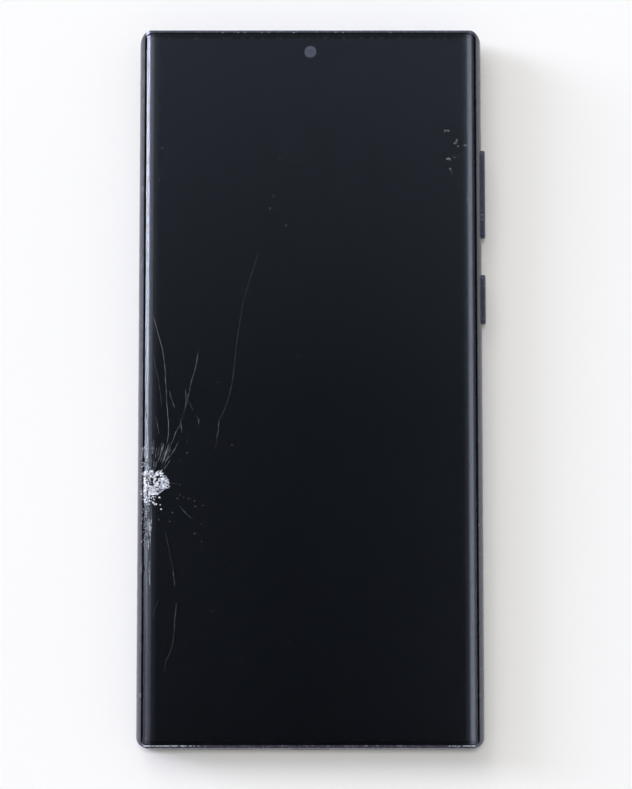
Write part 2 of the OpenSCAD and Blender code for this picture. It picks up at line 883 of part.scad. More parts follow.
module card() {
    y = -half_h + door_t + pocket_from_door + card_gap;
    color([0.85, 0.7, 0.4]) block(card_x - card_l / 2, card_x + card_l / 2, y, y + card_w,
        card_floor_z(), card_floor_z() + card_t);
}

// Key through the right rail: crown outside, flange inside that keeps it in
module side_key(y, l, flange_gap) {
    flange_x = bay_x - flange_gap;
    flange_y = l / 2 + 0.6;
    h = flange_h / 2;
    color(case_colour) {
        translate([flange_x - 0.1, y, mid_z]) rotate([90, 0, 90])
            linear_extrude(half_w + key_proud - flange_x + 0.1) slot(l, key_h);
        block(flange_x - flange_t, flange_x, y - flange_y, y + flange_y, mid_z - h, mid_z + h);
    }
}

module volume_rocker() { side_key(rocker_y, rocker_l, rocker_gap); }

module power_key() { side_key(power_y, power_l, set_gap); }

module key_bracket() {
    x1 = dome_x - flex_t;
    color("silver") {
        block(x1 - bracket_t, x1, bracket_y0, bracket_y1, mid_z - 1.8, plate_rear_z);
        block(x1 - 1.7, x1, bracket_y0, bracket_y1, plate_rear_z - bracket_t, plate_rear_z);
    }
}

module key_flex() {
    h = 1.6;
    color([0.75, 0.5, 0.15])
        block(dome_x - flex_t, dome_x, bracket_y0 + 0.5, bracket_y1 - 0.5, mid_z - h, mid_z + h);
}

module key_domes() {
    color("silver") for (y = [rocker_y - 7, rocker_y + 7, power_y]) {
        translate([dome_x, y, mid_z]) rotate([0, 90, 0]) cylinder(r = dome_r, h = dome_t);
    }
}

module stylus_silo() {
    inner_w = stylus_w + 2 * slide_gap;
    inner_h = stylus_t + 2 * slide_gap;
    color([0.2, 0.2, 0.22]) difference() {
        slot_bar(stylus_x, stylus_z, silo_w, silo_h, -bay_y, silo_y1 + silo_end_t);
        slot_bar(stylus_x, stylus_z, inner_w, inner_h, -bay_y - cut, silo_y1);
    }
}

module stylus_barrel() {
    w = button_w / 2 + set_gap;
    color(black) difference() {
        slot_bar(stylus_x, stylus_z, stylus_w, stylus_t, barrel_y0, barrel_y1);
        slot_bar(stylus_x, stylus_z, bore_w, bore_h, barrel_y0 - cut, barrel_y1 - 1);
        translate([stylus_x, barrel_y1 + cut, stylus_z]) rotate([90, 0, 0])
            cylinder(r = nib_r + 0.1, h = 4);
        block(stylus_x - w, stylus_x + w, button_y - set_gap, button_y + button_l + set_gap,
            stylus_z - stylus_t, stylus_z);
    }
}

module stylus_tip() {
    l = stylus_y1 - 1.4 - barrel_y1;
    base_r = stylus_t / 2;
    bore_r = nib_r + 0.1;
    color(black) translate([stylus_x, barrel_y1, stylus_z]) rotate([-90, 0, 0]) rotate_extrude()
        polygon([[bore_r, 0], [base_r, 0], [base_r * 0.8, l * 0.5], [nib_r + 0.4, l], [bore_r, l]]);
}

module stylus_nib() {
    l = 13.8;
    color("dimgray") translate([stylus_x, stylus_y1 - l, stylus_z]) rotate([-90, 0, 0]) rotate_extrude()
        polygon([[0, 0], [nib_r, 0], [nib_r, l - 0.6], [nib_r * 0.5, l], [0, l]]);
}

module stylus_clicker() {
    color(case_colour) {
        slot_bar(stylus_x, stylus_z, stylus_w, stylus_t, -half_h, -half_h + clicker_l);
        translate([stylus_x, barrel_y0 + 5, stylus_z]) rotate([90, 0, 0])
            cylinder(r = bore_h / 2 - 0.25, h = 5.5);
    }
}

module stylus_button() {
    rear_face = stylus_z - stylus_t / 2;
    wall_in = rear_face + barrel_t;
    w = button_w / 2;
    flange_w = (bore_w - bore_h) / 2 + 0.275;
    color("gray") {
        block(stylus_x - w, stylus_x + w, button_y, button_y + button_l, rear_face, wall_in + 0.1);
        block(stylus_x - flange_w, stylus_x + flange_w, button_y - 0.4, button_y + button_l + 0.4,
            wall_in + 0.05, wall_in + 0.35);
    }
}

module stylus_core() {
    color("brown") translate([stylus_x, stylus_y1 - 14.5, stylus_z]) rotate([90, 0, 0])
        cylinder(r = bore_h / 2 - 0.2, h = 13);
}

module stylus_board() {
    w = stylus_board_w / 2;
    z = stylus_z + 0.1;
    color(board_colour)
        block(stylus_x - w, stylus_x + w, button_y - 8, stylus_y1 - 27.7, z, z + 0.6);
}

cover_glass();
display_panel();
backing_sheet();
front_gasket();
mid_frame();
antenna_splits();
rear_glass();
rear_gasket();
camera_ring_upper();
camera_ring_middle();
camera_ring_lower();
camera_window_upper();
camera_window_middle();
camera_window_lower();
camera_module_upper();
camera_module_middle();
camera_module_lower();
flash_lens();
front_camera();
earpiece();
vapour_chamber();
fingerprint_sensor();
main_board();
processor();
board_shield();
memory_chip();
upper_cover();
lower_cover();
cover_screws();
battery();
battery_adhesive();
ferrite_sheet();
charging_coil();
interconnect_flex();
display_flex();
sub_board();
socket_shell();
socket_tongue();
loudspeaker();
speaker_mesh();
bottom_microphone();
vibration_motor();
card_socket();
card_tray();
card();
volume_rocker();
power_key();
key_bracket();
key_flex();
key_domes();
stylus_silo();
stylus_barrel();
stylus_tip();
stylus_nib();
stylus_clicker();
stylus_button();
stylus_core();
stylus_board();
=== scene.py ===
"""A slab phone lying face up on a pale table, its cover glass shattered at the left edge.

Sizes below are in millimetres and are turned into metres where a mesh is made. X points
right facing the screen, Y towards the top end and Z out of the screen.
"""

import math
import random

import bpy
from mathutils import Matrix, Vector


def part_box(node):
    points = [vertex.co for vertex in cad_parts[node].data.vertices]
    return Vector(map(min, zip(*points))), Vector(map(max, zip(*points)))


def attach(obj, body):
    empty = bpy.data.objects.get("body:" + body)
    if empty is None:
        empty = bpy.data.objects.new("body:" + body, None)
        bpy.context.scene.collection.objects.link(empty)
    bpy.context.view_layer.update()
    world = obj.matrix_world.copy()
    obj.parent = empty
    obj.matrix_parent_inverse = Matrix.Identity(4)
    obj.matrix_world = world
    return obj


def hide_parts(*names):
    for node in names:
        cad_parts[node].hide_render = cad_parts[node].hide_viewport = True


MM = 0.001
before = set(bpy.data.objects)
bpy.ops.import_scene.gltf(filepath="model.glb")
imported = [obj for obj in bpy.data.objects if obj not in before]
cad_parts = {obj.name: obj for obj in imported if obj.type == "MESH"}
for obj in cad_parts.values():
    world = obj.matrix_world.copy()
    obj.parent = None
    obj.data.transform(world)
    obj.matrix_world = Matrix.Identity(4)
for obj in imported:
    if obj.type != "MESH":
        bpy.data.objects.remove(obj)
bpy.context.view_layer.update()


def size_of(node):
    """Lowest and highest corner of a piece of the frame, in millimetres."""
    low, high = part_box(node)
    return low / MM, high / MM


GLASS_HIGH = size_of("cover_glass")[1]
FRAME_HIGH = size_of("mid_frame")[1]
PANEL_LOW, PANEL_HIGH = size_of("display_panel")

# Outer form
HALF_W = FRAME_HIGH.x
HALF_H = FRAME_HIGH.y
FRONT = GLASS_HIGH.z
REAR = size_of("rear_glass")[0].z
MIDDLE = (FRONT + REAR) / 2
CORNER_R = 3
RIM = HALF_H - GLASS_HIGH.y
RIM_EDGE_R = 0.6

# The curve of both faces along the long sides: a gentle start, then a tight round. Angles are
# in degrees
EDGE_X = GLASS_HIGH.x
EDGE_ANGLE = 40
EDGE_R = 3.3
BLEND_R = 23
BLEND_ANGLE = 3
FLAT_X = EDGE_X - EDGE_R * math.sin(math.radians(EDGE_ANGLE))
CURVE_Z = FRONT - EDGE_R
EDGE_Z = CURVE_Z + EDGE_R * math.cos(math.radians(EDGE_ANGLE))

# The rails' round flanks
RAIL_SAG = HALF_W - EDGE_X
RAIL_RISE = EDGE_Z - MIDDLE
RAIL_R = (RAIL_SAG**2 + RAIL_RISE**2) / (2 * RAIL_SAG)
RAIL_CENTRE = HALF_W - RAIL_R
RAIL_ANGLE = math.degrees(math.asin(RAIL_RISE / RAIL_R))

# Glass, its seat in the frame and the dark seam round it
GLASS_T = 0.6
GLASS_ANGLE = 35.5
GLUE_T = 0.1
SEAT_GAP = 0.08
END_GAP = 0.12
LIP_ANGLE = 8
SEAM_DEPTH = 0.1
FILM = 0.02

# Display, the plate it lies on and the bay behind that
PANEL_T = FRONT - GLASS_T - PANEL_LOW.z
PANEL_ANGLE = 26
PANEL_GAP_ANGLE = 2
BACKING_T = 0.1
PUNCH_R = 1.55
PLATE_LOW = 7.9
BAY_X = 36.4
BAY_Y = 79.35
BAY_R = 0.5
BAY_LOW = REAR + GLASS_T

# Keys: the crown, and the flange behind it that is longer and keeps it in
KEY_HALF_H = 1.15
FLANGE_PAST_CROWN = 0.6
FLANGE_T = 0.4
FLANGE_HALF_H = 1.65

# Openings in the bottom wall and the rails
DOOR_T = 1.1
TRAY_HALF_W = 6.95
TRAY_HALF_T = 0.85
MIC_R = 0.45
SPLIT_FROM_END = 11.85
SPLIT_HALF_W = 0.5

# Rear cameras
RING_FLANGE = 1
RING_HOLE_IN = 0.9
FLASH_HOLE_IN = 0.5
WINDOW_TOP = 0.95

# Room round a fixed piece, round one that moves, and how far a cutting tool runs past its cut
GAP = 0.1
MOVING_GAP = 0.15
CUT = 1

# Damage, round the point that was hit
IMPACT = Vector((-HALF_W + 4.25, -22.3))
PIT_DEPTH = 0.3
CHIP_DEPTH = 0.5


# ---------------------------------------------------------------- modelling


ARC_STEP = 1.5
MERGE = MM / 1000


def deselect():
    """Back to object mode with nothing selected."""
    active = bpy.context.view_layer.objects.active
    if active is not None and active.mode != "OBJECT":
        bpy.ops.object.mode_set(mode="OBJECT")
    bpy.ops.object.select_all(action="DESELECT")


def pick(piece):
    """Selects one piece and makes it the active one."""
    deselect()
    piece.select_set(True)
    bpy.context.view_layer.objects.active = piece


def edit(piece):
    """Edit mode on one piece, with all of it selected."""
    pick(piece)
    bpy.ops.object.mode_set(mode="EDIT")
    bpy.ops.mesh.select_all(action="SELECT")


def place(axis, u, v, depth):
    """Where an outline's point (u, v) lies, for an outline drawn across an axis."""
    spot = {"X": (depth, u, v), "Y": (u, depth, v), "Z": (u, v, depth)}[axis]
    return Vector(spot) * MM


def outline(name, axis, depth, start, moves):
    """A filled outline. Each move is a point to draw to, or an arc's centre and its turn."""
    deselect()
    bpy.ops.mesh.primitive_plane_add(size=MM, location=place(axis, *start, depth))
    piece = bpy.context.object
    piece.name = piece.data.name = name
    bpy.ops.object.transform_apply()
    edit(piece)
    bpy.ops.mesh.select_mode(type="VERT")
    bpy.ops.mesh.merge(type="CENTER")
    across = place(axis, 0, 0, 1).normalized()
    here = Vector(start)
    for move in moves:
        if len(move) == 2:
            step = place(axis, *move, depth) - place(axis, *here, depth)
            bpy.ops.mesh.extrude_vertices_move(TRANSFORM_OT_translate={"value": step})
            here = Vector(move)
            continue
        centre, turn = Vector(move[:2]), math.radians(move[2])
        bpy.ops.mesh.spin(
            steps=max(3, round(abs(move[2]) / ARC_STEP)),
            angle=turn if axis == "Y" else -turn,
            center=place(axis, *centre, depth),
            axis=across,
        )
        here = centre + Matrix.Rotation(turn, 2) @ (here - centre)
    bpy.ops.mesh.select_all(action="SELECT")
    bpy.ops.mesh.remove_doubles(threshold=MERGE)
    bpy.ops.mesh.edge_face_add()
    bpy.ops.object.mode_set(mode="OBJECT")
    return piece


def prism(name, axis, near, far, start, moves):
    """An outline made solid from one depth to another."""
    piece = outline(name, axis, near, start, moves)
    edit(piece)
    along = place(axis, 0, 0, far - near)
    bpy.ops.mesh.extrude_region_move(TRANSFORM_OT_translate={"value": along})
    bpy.ops.mesh.select_all(action="SELECT")
    bpy.ops.mesh.normals_make_consistent(inside=False)
    bpy.ops.object.mode_set(mode="OBJECT")
    return piece


def round_rect(half_u, half_v, r, u=0, v=0):
    """Start and moves of a rectangle with round corners about (u, v)."""
    east, west, north, south = u + half_u, u - half_u, v + half_v, v - half_v
    moves = [
        (east - r, south + r, 90),
        (east, north - r),
        (east - r, north - r, 90),
        (west + r, north),
        (west + r, north - r, 90),
        (west, south + r),
        (west + r, south + r, 90),
        (east - r, south),
    ]
    return (east - r, south), moves


def block(name, low, high):
    """A plain tool block between two corners."""
    start = (low[0], low[1])
    moves = [(high[0], low[1]), (high[0], high[1]), (low[0], high[1]), start]
    return prism(name, "Z", low[2], high[2], start, moves)


def post(name, x, y, r, low, high):
    """An upright round tool."""
    return prism(name, "Z", low, high, (x + r, y), [(x, y, 360)])


def carve(piece, tool, how="DIFFERENCE"):
    """Cuts, joins or keeps what is shared, and uses the tool up."""
    modifier = piece.modifiers.new("carve", "BOOLEAN")
    modifier.object = tool
    modifier.operation = how
    modifier.solver = "EXACT"
    pick(piece)
    bpy.ops.object.modifier_apply(modifier=modifier.name)
    bpy.data.objects.remove(tool)


def smooth(piece, angle=28):
    """Round faces shade as round, and flat faces keep their own normal."""
    pick(piece)
    bpy.ops.object.shade_smooth_by_angle(angle=math.radians(angle))
    modifier = piece.modifiers.new("normals", "WEIGHTED_NORMAL")
    modifier.keep_sharp = True
    bpy.ops.object.modifier_apply(modifier=modifier.name)


def lathe(name, x, y, profile, steps=96):
    """A ring or disc turned about an upright axis from a closed profile of radius and height."""
    start, *rest = profile
    piece = outline(name, "Y", y, (x + start[0], start[1]), [(x + r, z) for r, z in rest + [start]])
    edit(piece)
    bpy.ops.mesh.spin(steps=steps, angle=math.tau, center=Vector((x, y, 0)) * MM, axis=(0, 0, 1))
    bpy.ops.mesh.select_all(action="SELECT")
    bpy.ops.mesh.remove_doubles(threshold=MERGE)
    bpy.ops.mesh.delete_loose()
    bpy.ops.mesh.select_all(action="SELECT")
    bpy.ops.mesh.normals_make_consistent(inside=False)
    bpy.ops.object.mode_set(mode="OBJECT")
    return piece


def stand_in(piece, body, slot, paint, *nodes):
    """A finished piece takes its material and its place among the bodies."""
    piece.data.materials.clear()
    piece.data.materials.append(paint.material)
    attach(piece, body)
    if nodes:
        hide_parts(*nodes)
    return piece


# ---------------------------------------------------------------- materials


class Nodes:
    """The shader nodes of a material or of the world."""

    def __init__(self, tree):
        self.tree = tree

    def node(self, kind, **settings):
        made = self.tree.nodes.new(kind)
        for key, value in settings.items():
            setattr(made, key, value)
        return made

    def wire(self, source, target):
        self.tree.links.new(source, target)

    def ramp(self, source, low, high, out_low=0.0, out_high=1.0, how="SMOOTHSTEP"):
        """A value that runs from out_low to out_high as the source runs from low to high."""
        made = self.node("ShaderNodeMapRange", interpolation_type=how)
        for name, value in zip(("From Min", "From Max", "To Min", "To Max"), (low, high, out_low, out_high)):
            made.inputs[name].default_value = value
        self.wire(source, made.inputs["Value"])
        return made.outputs["Result"]

    def sum(self, a, b, how="ADD"):
        """Two values added, or put together in another way."""
        made = self.node("ShaderNodeMath", operation=how)
        for socket, value in zip(made.inputs, (a, b)):
            if isinstance(value, (int, float)):
                socket.default_value = value
            else:
                self.wire(value, socket)
        return made.outputs["Value"]

    def times(self, a, b):
        return self.sum(a, b, "MULTIPLY")

    def size(self, a):
        """A value without its sign."""
        return self.sum(a, 0.0, "ABSOLUTE")


class Paint(Nodes):
    """A Principled material whose patterns are worked out on the piece's own coordinates."""

    def __init__(self, name, colour, roughness, metallic=0.0):
        self.material = bpy.data.materials.new(name)
        self.material.use_nodes = True
        super().__init__(self.material.node_tree)
        self.shader = self.tree.nodes["Principled BSDF"]
        self.set("Base Color", (*colour, 1))
        self.set("Roughness", roughness)
        self.set("Metallic", metallic)

    def set(self, name, value):
        self.shader.inputs[name].default_value = value

    def coordinates(self, stretch=(1, 1, 1)):
        """Object coordinates in millimetres."""
        mapping = self.node("ShaderNodeMapping")
        mapping.inputs["Scale"].default_value = [s / MM for s in stretch]
        self.wire(self.node("ShaderNodeTexCoord").outputs["Object"], mapping.inputs["Vector"])
        return mapping.outputs["Vector"]

    def grain(self, size, detail=3, stretch=(1, 1, 1), harsh=0.5):
        """Soft noise with features of that size in millimetres."""
        noise = self.node("ShaderNodeTexNoise")
        noise.inputs["Scale"].default_value = 1 / size
        noise.inputs["Detail"].default_value = detail
        noise.inputs["Roughness"].default_value = harsh
        self.wire(self.coordinates(stretch), noise.inputs["Vector"])
        return noise.outputs["Fac"]

    def cells(self, size, feature="F1", stretch=(1, 1, 1)):
        """Distance pattern of cells of that size in millimetres."""
        pattern = self.node("ShaderNodeTexVoronoi", feature=feature)
        pattern.inputs["Scale"].default_value = 1 / size
        self.wire(self.coordinates(stretch), pattern.inputs["Vector"])
        return pattern.outputs["Distance"]

    def tint(self, mask, colour):
        """Turns the colour towards another where the mask is high."""
        mix = self.node("ShaderNodeMix", data_type="RGBA")
        before = self.shader.inputs["Base Color"]
        if before.is_linked:
            self.wire(before.links[0].from_socket, mix.inputs["A"])
        else:
            mix.inputs["A"].default_value = before.default_value
        mix.inputs["B"].default_value = (*colour, 1)
        self.wire(mask, mix.inputs["Factor"])
        self.wire(mix.outputs["Result"], before)

    def rough(self, mask, low, high):
        """Roughness that runs from low to high with the mask."""
        self.wire(self.ramp(mask, 0.3, 0.7, low, high), self.shader.inputs["Roughness"])

    def bump(self, height, depth, strength=1.0):
        """Relief of that depth in millimetres."""
        made = self.node("ShaderNodeBump")
        made.inputs["Strength"].default_value = strength
        made.inputs["Distance"].default_value = depth * MM
        before = self.shader.inputs["Normal"]
        if before.is_linked:
            self.wire(before.links[0].from_socket, made.inputs["Normal"])
        self.wire(height, made.inputs["Height"])
        self.wire(made.outputs["Normal"], before)

    def axis(self, name):
        """One Object coordinate in millimetres."""
        split = self.node("ShaderNodeSeparateXYZ")
        self.wire(self.coordinates(), split.inputs["Vector"])
        return split.outputs[name]

    def off_axis(self, x, y):
        """Distance in plan from an upright axis, in millimetres."""
        across = [self.sum(self.sum(self.axis(n), -at), 2.0, "POWER") for n, at in (("X", x), ("Y", y))]
        return self.sum(self.sum(*across), 0.5, "POWER")


def cover_glass_paint():
    """Clear glass with a faint smear of finger grease."""
    paint = Paint("clear_cover_glass", (0.95, 0.97, 1.0), 0.02)
    paint.set("Transmission Weight", 1.0)
    paint.set("IOR", 1.5)
    smear = paint.times(paint.grain(22, 4, (1, 0.35, 1)), paint.grain(1.4, 2))
    paint.wire(paint.ramp(smear, 0.2, 0.45, 0.012, 0.05), paint.shader.inputs["Roughness"])
    return paint


def display_paint():
    """Switched-off panel: faintly blue inside its black border."""
    paint = Paint("dark_display", (0.0016, 0.0018, 0.0023), 0.12)
    from_middle = paint.size(paint.axis("Y"))
    lit_area = paint.ramp(from_middle, PANEL_HIGH.y - 0.55, PANEL_HIGH.y - 0.4, 1.0, 0.0)
    paint.tint(lit_area, (0.0022, 0.0028, 0.0038))
    paint.tint(paint.ramp(paint.grain(9, 2), 0.35, 0.75, 0.0, 0.25), (0.0027, 0.0034, 0.0047))
    paint.bump(paint.grain(0.25, 1), 0.0005, 0.3)
    return paint


def glue_paint():
    paint = Paint("black_glue", (0.003, 0.003, 0.004), 0.7)
    paint.set("Specular IOR Level", 0.0)
    paint.tint(paint.ramp(paint.grain(0.6), 0.4, 0.7), (0.008, 0.008, 0.01))
    paint.bump(paint.grain(0.3), 0.02)
    return paint


def metal_paint():
    """Graphite anodising, polished, worn pale in small scuffs along the rails."""
    paint = Paint("graphite_anodised_metal", (0.074, 0.074, 0.095), 0.2, 0.6)
    paint.tint(paint.ramp(paint.grain(14, 3), 0.35, 0.7, 0.0, 0.5), (0.088, 0.088, 0.112))
    wear = paint.times(paint.grain(2.6, 4, (1, 0.5, 1)), paint.grain(0.35, 2))
    worn = paint.ramp(wear, 0.41, 0.47)
    paint.tint(worn, (0.42, 0.42, 0.45))
    paint.rough(paint.sum(paint.grain(1.1, 3, (1, 0.3, 1)), paint.times(worn, 0.25)), 0.16, 0.34)
    paint.bump(paint.grain(0.12, 2, (1, 0.3, 1)), 0.0015, 0.4)
    return paint


def split_paint():
    paint = Paint("split_plastic", (0.06, 0.06, 0.075), 0.42)
    paint.tint(paint.ramp(paint.grain(0.8), 0.35, 0.7), (0.085, 0.085, 0.1))
    paint.bump(paint.grain(0.1), 0.004)
    return paint


def rear_glass_paint():
    """Satin-etched glass over dark graphite paint, with faint grip marks."""
    paint = Paint("satin_rear_glass", (0.03, 0.031, 0.037), 0.3)
    paint.set("Coat Weight", 0.35)
    paint.set("Coat Roughness", 0.22)
    paint.tint(paint.ramp(paint.grain(35, 2), 0.3, 0.7, 0.0, 0.6), (0.038, 0.039, 0.048))
    grip_mark = paint.times(paint.grain(16, 3), paint.grain(2.2, 4, (1, 0.6, 1)))
    paint.rough(paint.ramp(grip_mark, 0.2, 0.4), 0.26, 0.38)
    paint.bump(paint.grain(0.08, 1), 0.0012, 0.5)
    return paint


def lens_glass_paint():
    """Tinted window glass over a rear camera."""
    paint = Paint("dark_lens_glass", (0.55, 0.6, 0.7), 0.02)
    paint.set("Transmission Weight", 1.0)
    paint.set("IOR", 1.5)
    paint.rough(paint.grain(2.5), 0.01, 0.05)
    return paint


def coated_lens_paint():
    """Curved lens with a violet and green coating, and a painted violet sheen where it is seen edge-on."""
    paint = Paint("coated_lens", (0.004, 0.005, 0.012), 0.04)
    paint.set("Coat Weight", 1.0)
    paint.set("Coat Tint", (0.75, 0.6, 1.0, 1))
    # Painted sheen: the colour turns a brighter violet where the lens is seen at a grazing angle
    edge_on_sheen = paint.node("ShaderNodeLayerWeight")
    edge_on_sheen.inputs["Blend"].default_value = 0.4
    paint.tint(edge_on_sheen.outputs["Facing"], (0.03, 0.01, 0.05))
    paint.rough(paint.grain(1.5), 0.03, 0.08)
    return paint


def camera_black_paint():
    paint = Paint("camera_black", (0.012, 0.012, 0.014), 0.55)
    paint.tint(paint.ramp(paint.grain(0.9), 0.4, 0.7), (0.02, 0.02, 0.023))
    paint.bump(paint.grain(0.15), 0.01)
    return paint


def selfie_lens_paint():
    """Small front camera: a grey coated face with a darker middle, in a black barrel."""
    low, high = size_of("front_camera")
    paint = Paint("grey_camera_face", (0.21, 0.215, 0.225), 0.35)
    paint.tint(paint.ramp(paint.grain(0.5, 2), 0.35, 0.7, 0.0, 0.4), (0.16, 0.165, 0.175))
    radius = paint.off_axis((low.x + high.x) / 2, (low.y + high.y) / 2)
    paint.tint(paint.ramp(radius, 0.3, 1.1, 0.5, 0.0), (0.1, 0.105, 0.11))
    paint.tint(paint.ramp(radius, 1.24, 1.34), (0.002, 0.002, 0.003))
    paint.bump(paint.grain(0.2), 0.004)
    return paint


def flash_paint():
    """Milky ridged flash lens."""
    paint = Paint("milky_flash", (0.75, 0.7, 0.5), 0.25)
    paint.set("Subsurface Weight", 0.2)
    paint.set("Subsurface Radius", (0.001, 0.001, 0.0008))
    paint.tint(paint.ramp(paint.cells(0.7), 0.1, 0.6), (0.85, 0.82, 0.68))
    paint.bump(paint.cells(0.45), 0.05)
    return paint


def graphite_paint():
    paint = Paint("graphite_sheet", (0.05, 0.05, 0.055), 0.5, 0.4)
    paint.tint(paint.ramp(paint.grain(3, 4), 0.35, 0.7), (0.09, 0.09, 0.095))
    paint.bump(paint.grain(0.6, 3), 0.02)
    return paint


def steel_paint():
    """Pressed steel with rolling lines."""
    paint = Paint("pressed_steel", (0.52, 0.52, 0.53), 0.3, 1.0)
    lines = paint.grain(0.5, 3, (1, 0.06, 1))
    paint.tint(paint.ramp(lines, 0.35, 0.65), (0.44, 0.44, 0.45))
    paint.rough(lines, 0.24, 0.42)
    paint.bump(lines, 0.004, 0.5)
    return paint


def copper_paint():
    """Bare copper, wound or rolled, a little darkened."""
    paint = Paint("bare_copper", (0.75, 0.36, 0.2), 0.3, 1.0)
    paint.tint(paint.ramp(paint.grain(4, 4), 0.45, 0.75), (0.4, 0.19, 0.12))
    paint.bump(paint.grain(0.3, 2), 0.01)
    return paint


def chip_paint():
    paint = Paint("moulded_chip", (0.014, 0.014, 0.016), 0.5)
    paint.tint(paint.ramp(paint.grain(0.4), 0.4, 0.7), (0.024, 0.024, 0.027))
    paint.bump(paint.grain(0.12), 0.008)
    return paint


def board_paint():
    """Green solder mask over copper tracks, with small tinned pads."""
    paint = Paint("circuit_board", (0.004, 0.05, 0.028), 0.38)
    paint.tint(paint.ramp(paint.cells(1.6, "DISTANCE_TO_EDGE"), 0.0, 0.12, 1.0, 0.0), (0.01, 0.11, 0.055))
    paint.tint(paint.ramp(paint.cells(0.9), 0.1, 0.16, 1.0, 0.0), (0.5, 0.48, 0.42))
    paint.bump(paint.cells(1.6, "DISTANCE_TO_EDGE"), 0.02)
    return paint


def black_plastic_paint():
    paint = Paint("moulded_black_plastic", (0.016, 0.016, 0.018), 0.45)
    paint.tint(paint.ramp(paint.grain(1.5), 0.35, 0.7), (0.025, 0.025, 0.028))
    paint.bump(paint.grain(0.09, 1), 0.006)
    return paint


def battery_paint():
    """Film-wrapped cell with soft creases."""
    paint = Paint("battery_film", (0.022, 0.022, 0.025), 0.34)
    paint.tint(paint.ramp(paint.grain(8, 3), 0.4, 0.7), (0.035, 0.035, 0.039))
    paint.bump(paint.grain(3.5, 4, (1, 0.4, 1)), 0.05)
    return paint


def flex_paint():
    """Amber film over fine copper lines."""
    paint = Paint("amber_flex", (0.38, 0.17, 0.03), 0.28)
    lines = paint.grain(0.35, 1, (1, 0.03, 1))
    paint.tint(paint.ramp(lines, 0.45, 0.55), (0.55, 0.28, 0.08))
    paint.bump(lines, 0.01)
    return paint


def card_paint():
    paint = Paint("pale_card", (0.72, 0.72, 0.7), 0.3)
    paint.tint(paint.ramp(paint.grain(1.2), 0.4, 0.75), (0.64, 0.64, 0.63))
    paint.bump(paint.grain(0.2), 0.004)
    return paint


def stylus_paint():
    paint = Paint("soft_black_stylus", (0.014, 0.014, 0.016), 0.5)
    paint.tint(paint.ramp(paint.grain(5, 3), 0.4, 0.7), (0.022, 0.022, 0.025))
    paint.bump(paint.grain(0.07, 1), 0.005)
    return paint


def mesh_paint():
    """Fine woven screen behind the speaker slot, with painted shade in its openings."""
    paint = Paint("speaker_screen", (0.03, 0.03, 0.033), 0.4, 0.6)
    # Near-black dots where the weave is open: painted shade of the space behind it
    paint.tint(paint.ramp(paint.cells(0.22), 0.15, 0.4, 1.0, 0.0), (0.002, 0.002, 0.002))
    paint.bump(paint.cells(0.22), 0.05)
    return paint


def crushed_paint():
    """Crushed glass: white grains, with lavender-grey patches of painted shade."""
    paint = Paint("crushed_glass", (0.95, 0.96, 1.0), 0.35)
    # Lavender-grey patches: painted shade on the grains' facets
    paint.tint(paint.ramp(paint.grain(0.45, 2), 0.42, 0.62, 0.0, 0.85), (0.36, 0.38, 0.48))
    paint.bump(paint.grain(0.06, 2), 0.02)
    return paint


def crack_paint(name, level):
    """Painted glint: the light caught by the two faces of a crack, painted into its colour, brighter in
    places.
    """
    paint = Paint(name, [level * c for c in (0.88, 0.92, 1.0)], 0.4)
    paint.set("Specular IOR Level", 0.1)
    # Dimmer patches of the painted glint
    dimmer_glint = [level * c * 0.3 for c in (0.84, 0.9, 1.0)]
    paint.tint(paint.ramp(paint.grain(1.1, 3), 0.42, 0.6), dimmer_glint)
    paint.bump(paint.grain(0.1, 1), 0.01)
    return paint


def dust_paint():
    """Dull grey grit and scuffs."""
    paint = Paint("dust", (0.5, 0.5, 0.5), 0.9)
    paint.tint(paint.ramp(paint.grain(0.2), 0.4, 0.7), (0.34, 0.34, 0.34))
    paint.bump(paint.grain(0.05), 0.01)
    return paint


def nick_and_highlight_paint():
    """Pale bare metal, for nicks in the coating and for the painted highlight along the bottom rim's edge.
    """
    paint = Paint("nicks_and_edge_highlight", (0.78, 0.79, 0.83), 0.35, 0.3)
    paint.tint(paint.ramp(paint.grain(0.15), 0.4, 0.7), (0.5, 0.51, 0.56))
    paint.bump(paint.grain(0.05), 0.01)
    return paint


# ---------------------------------------------------------------- body


def skin(name, outer, inner, angle, half_length, side=1):
    """A layer under the front, from one depth to another, round both long sides to an angle.

    side is 1 for the front and -1 for the rear.
    """

    def level(z):
        return MIDDLE + side * (z - MIDDLE)

    bend = math.radians(BLEND_ANGLE)
    blend_x = FLAT_X - (BLEND_R - EDGE_R) * math.sin(bend)
    tight_z = FRONT - BLEND_R + (BLEND_R - EDGE_R) * math.cos(bend)
    gentle = level(FRONT - BLEND_R)
    tight = level(tight_z)
    reach = math.radians(angle)
    small, large = side * BLEND_ANGLE, side * (angle - BLEND_ANGLE)

    def end(depth, x_sign):
        """Where the round ends, at a depth under the face."""
        r = EDGE_R - depth
        return x_sign * (FLAT_X + r * math.sin(reach)), level(tight_z + r * math.cos(reach))

    moves = [
        (blend_x, level(FRONT - inner)),
        (blend_x, gentle, -small),
        (FLAT_X, tight, -large),
        end(outer, 1),
        (FLAT_X, tight, large),
        (blend_x, gentle, small),
        (-blend_x, level(FRONT - outer)),
        (-blend_x, gentle, small),
        (-FLAT_X, tight, large),
        end(inner, -1),
        (-FLAT_X, tight, -large),
        (-blend_x, gentle, -small),
    ]
    start = (-blend_x, level(FRONT - inner))
    return prism(name, "Y", -half_length, half_length, start, moves)


def plan(name, half_w, half_h, r, low, high):
    """An upright block with round corners in plan."""
    return prism(name, "Z", low, high, *round_rect(half_w, half_h, r))


def trim(piece, inset, low, high, end_gap=0):
    """Keeps what lies inside the body's plan, in from its edge by an inset."""
    room = plan("room", HALF_W - inset, HALF_H - inset - end_gap, CORNER_R - inset, low, high)
    carve(piece, room, "INTERSECT")


def glass_plate(name, side):
    """A sheet of glass that curves down along both long sides."""
    piece = skin(name, 0, GLASS_T, GLASS_ANGLE, HALF_H, side)
    trim(piece, RIM, REAR - CUT, FRONT + CUT, END_GAP)
    return piece


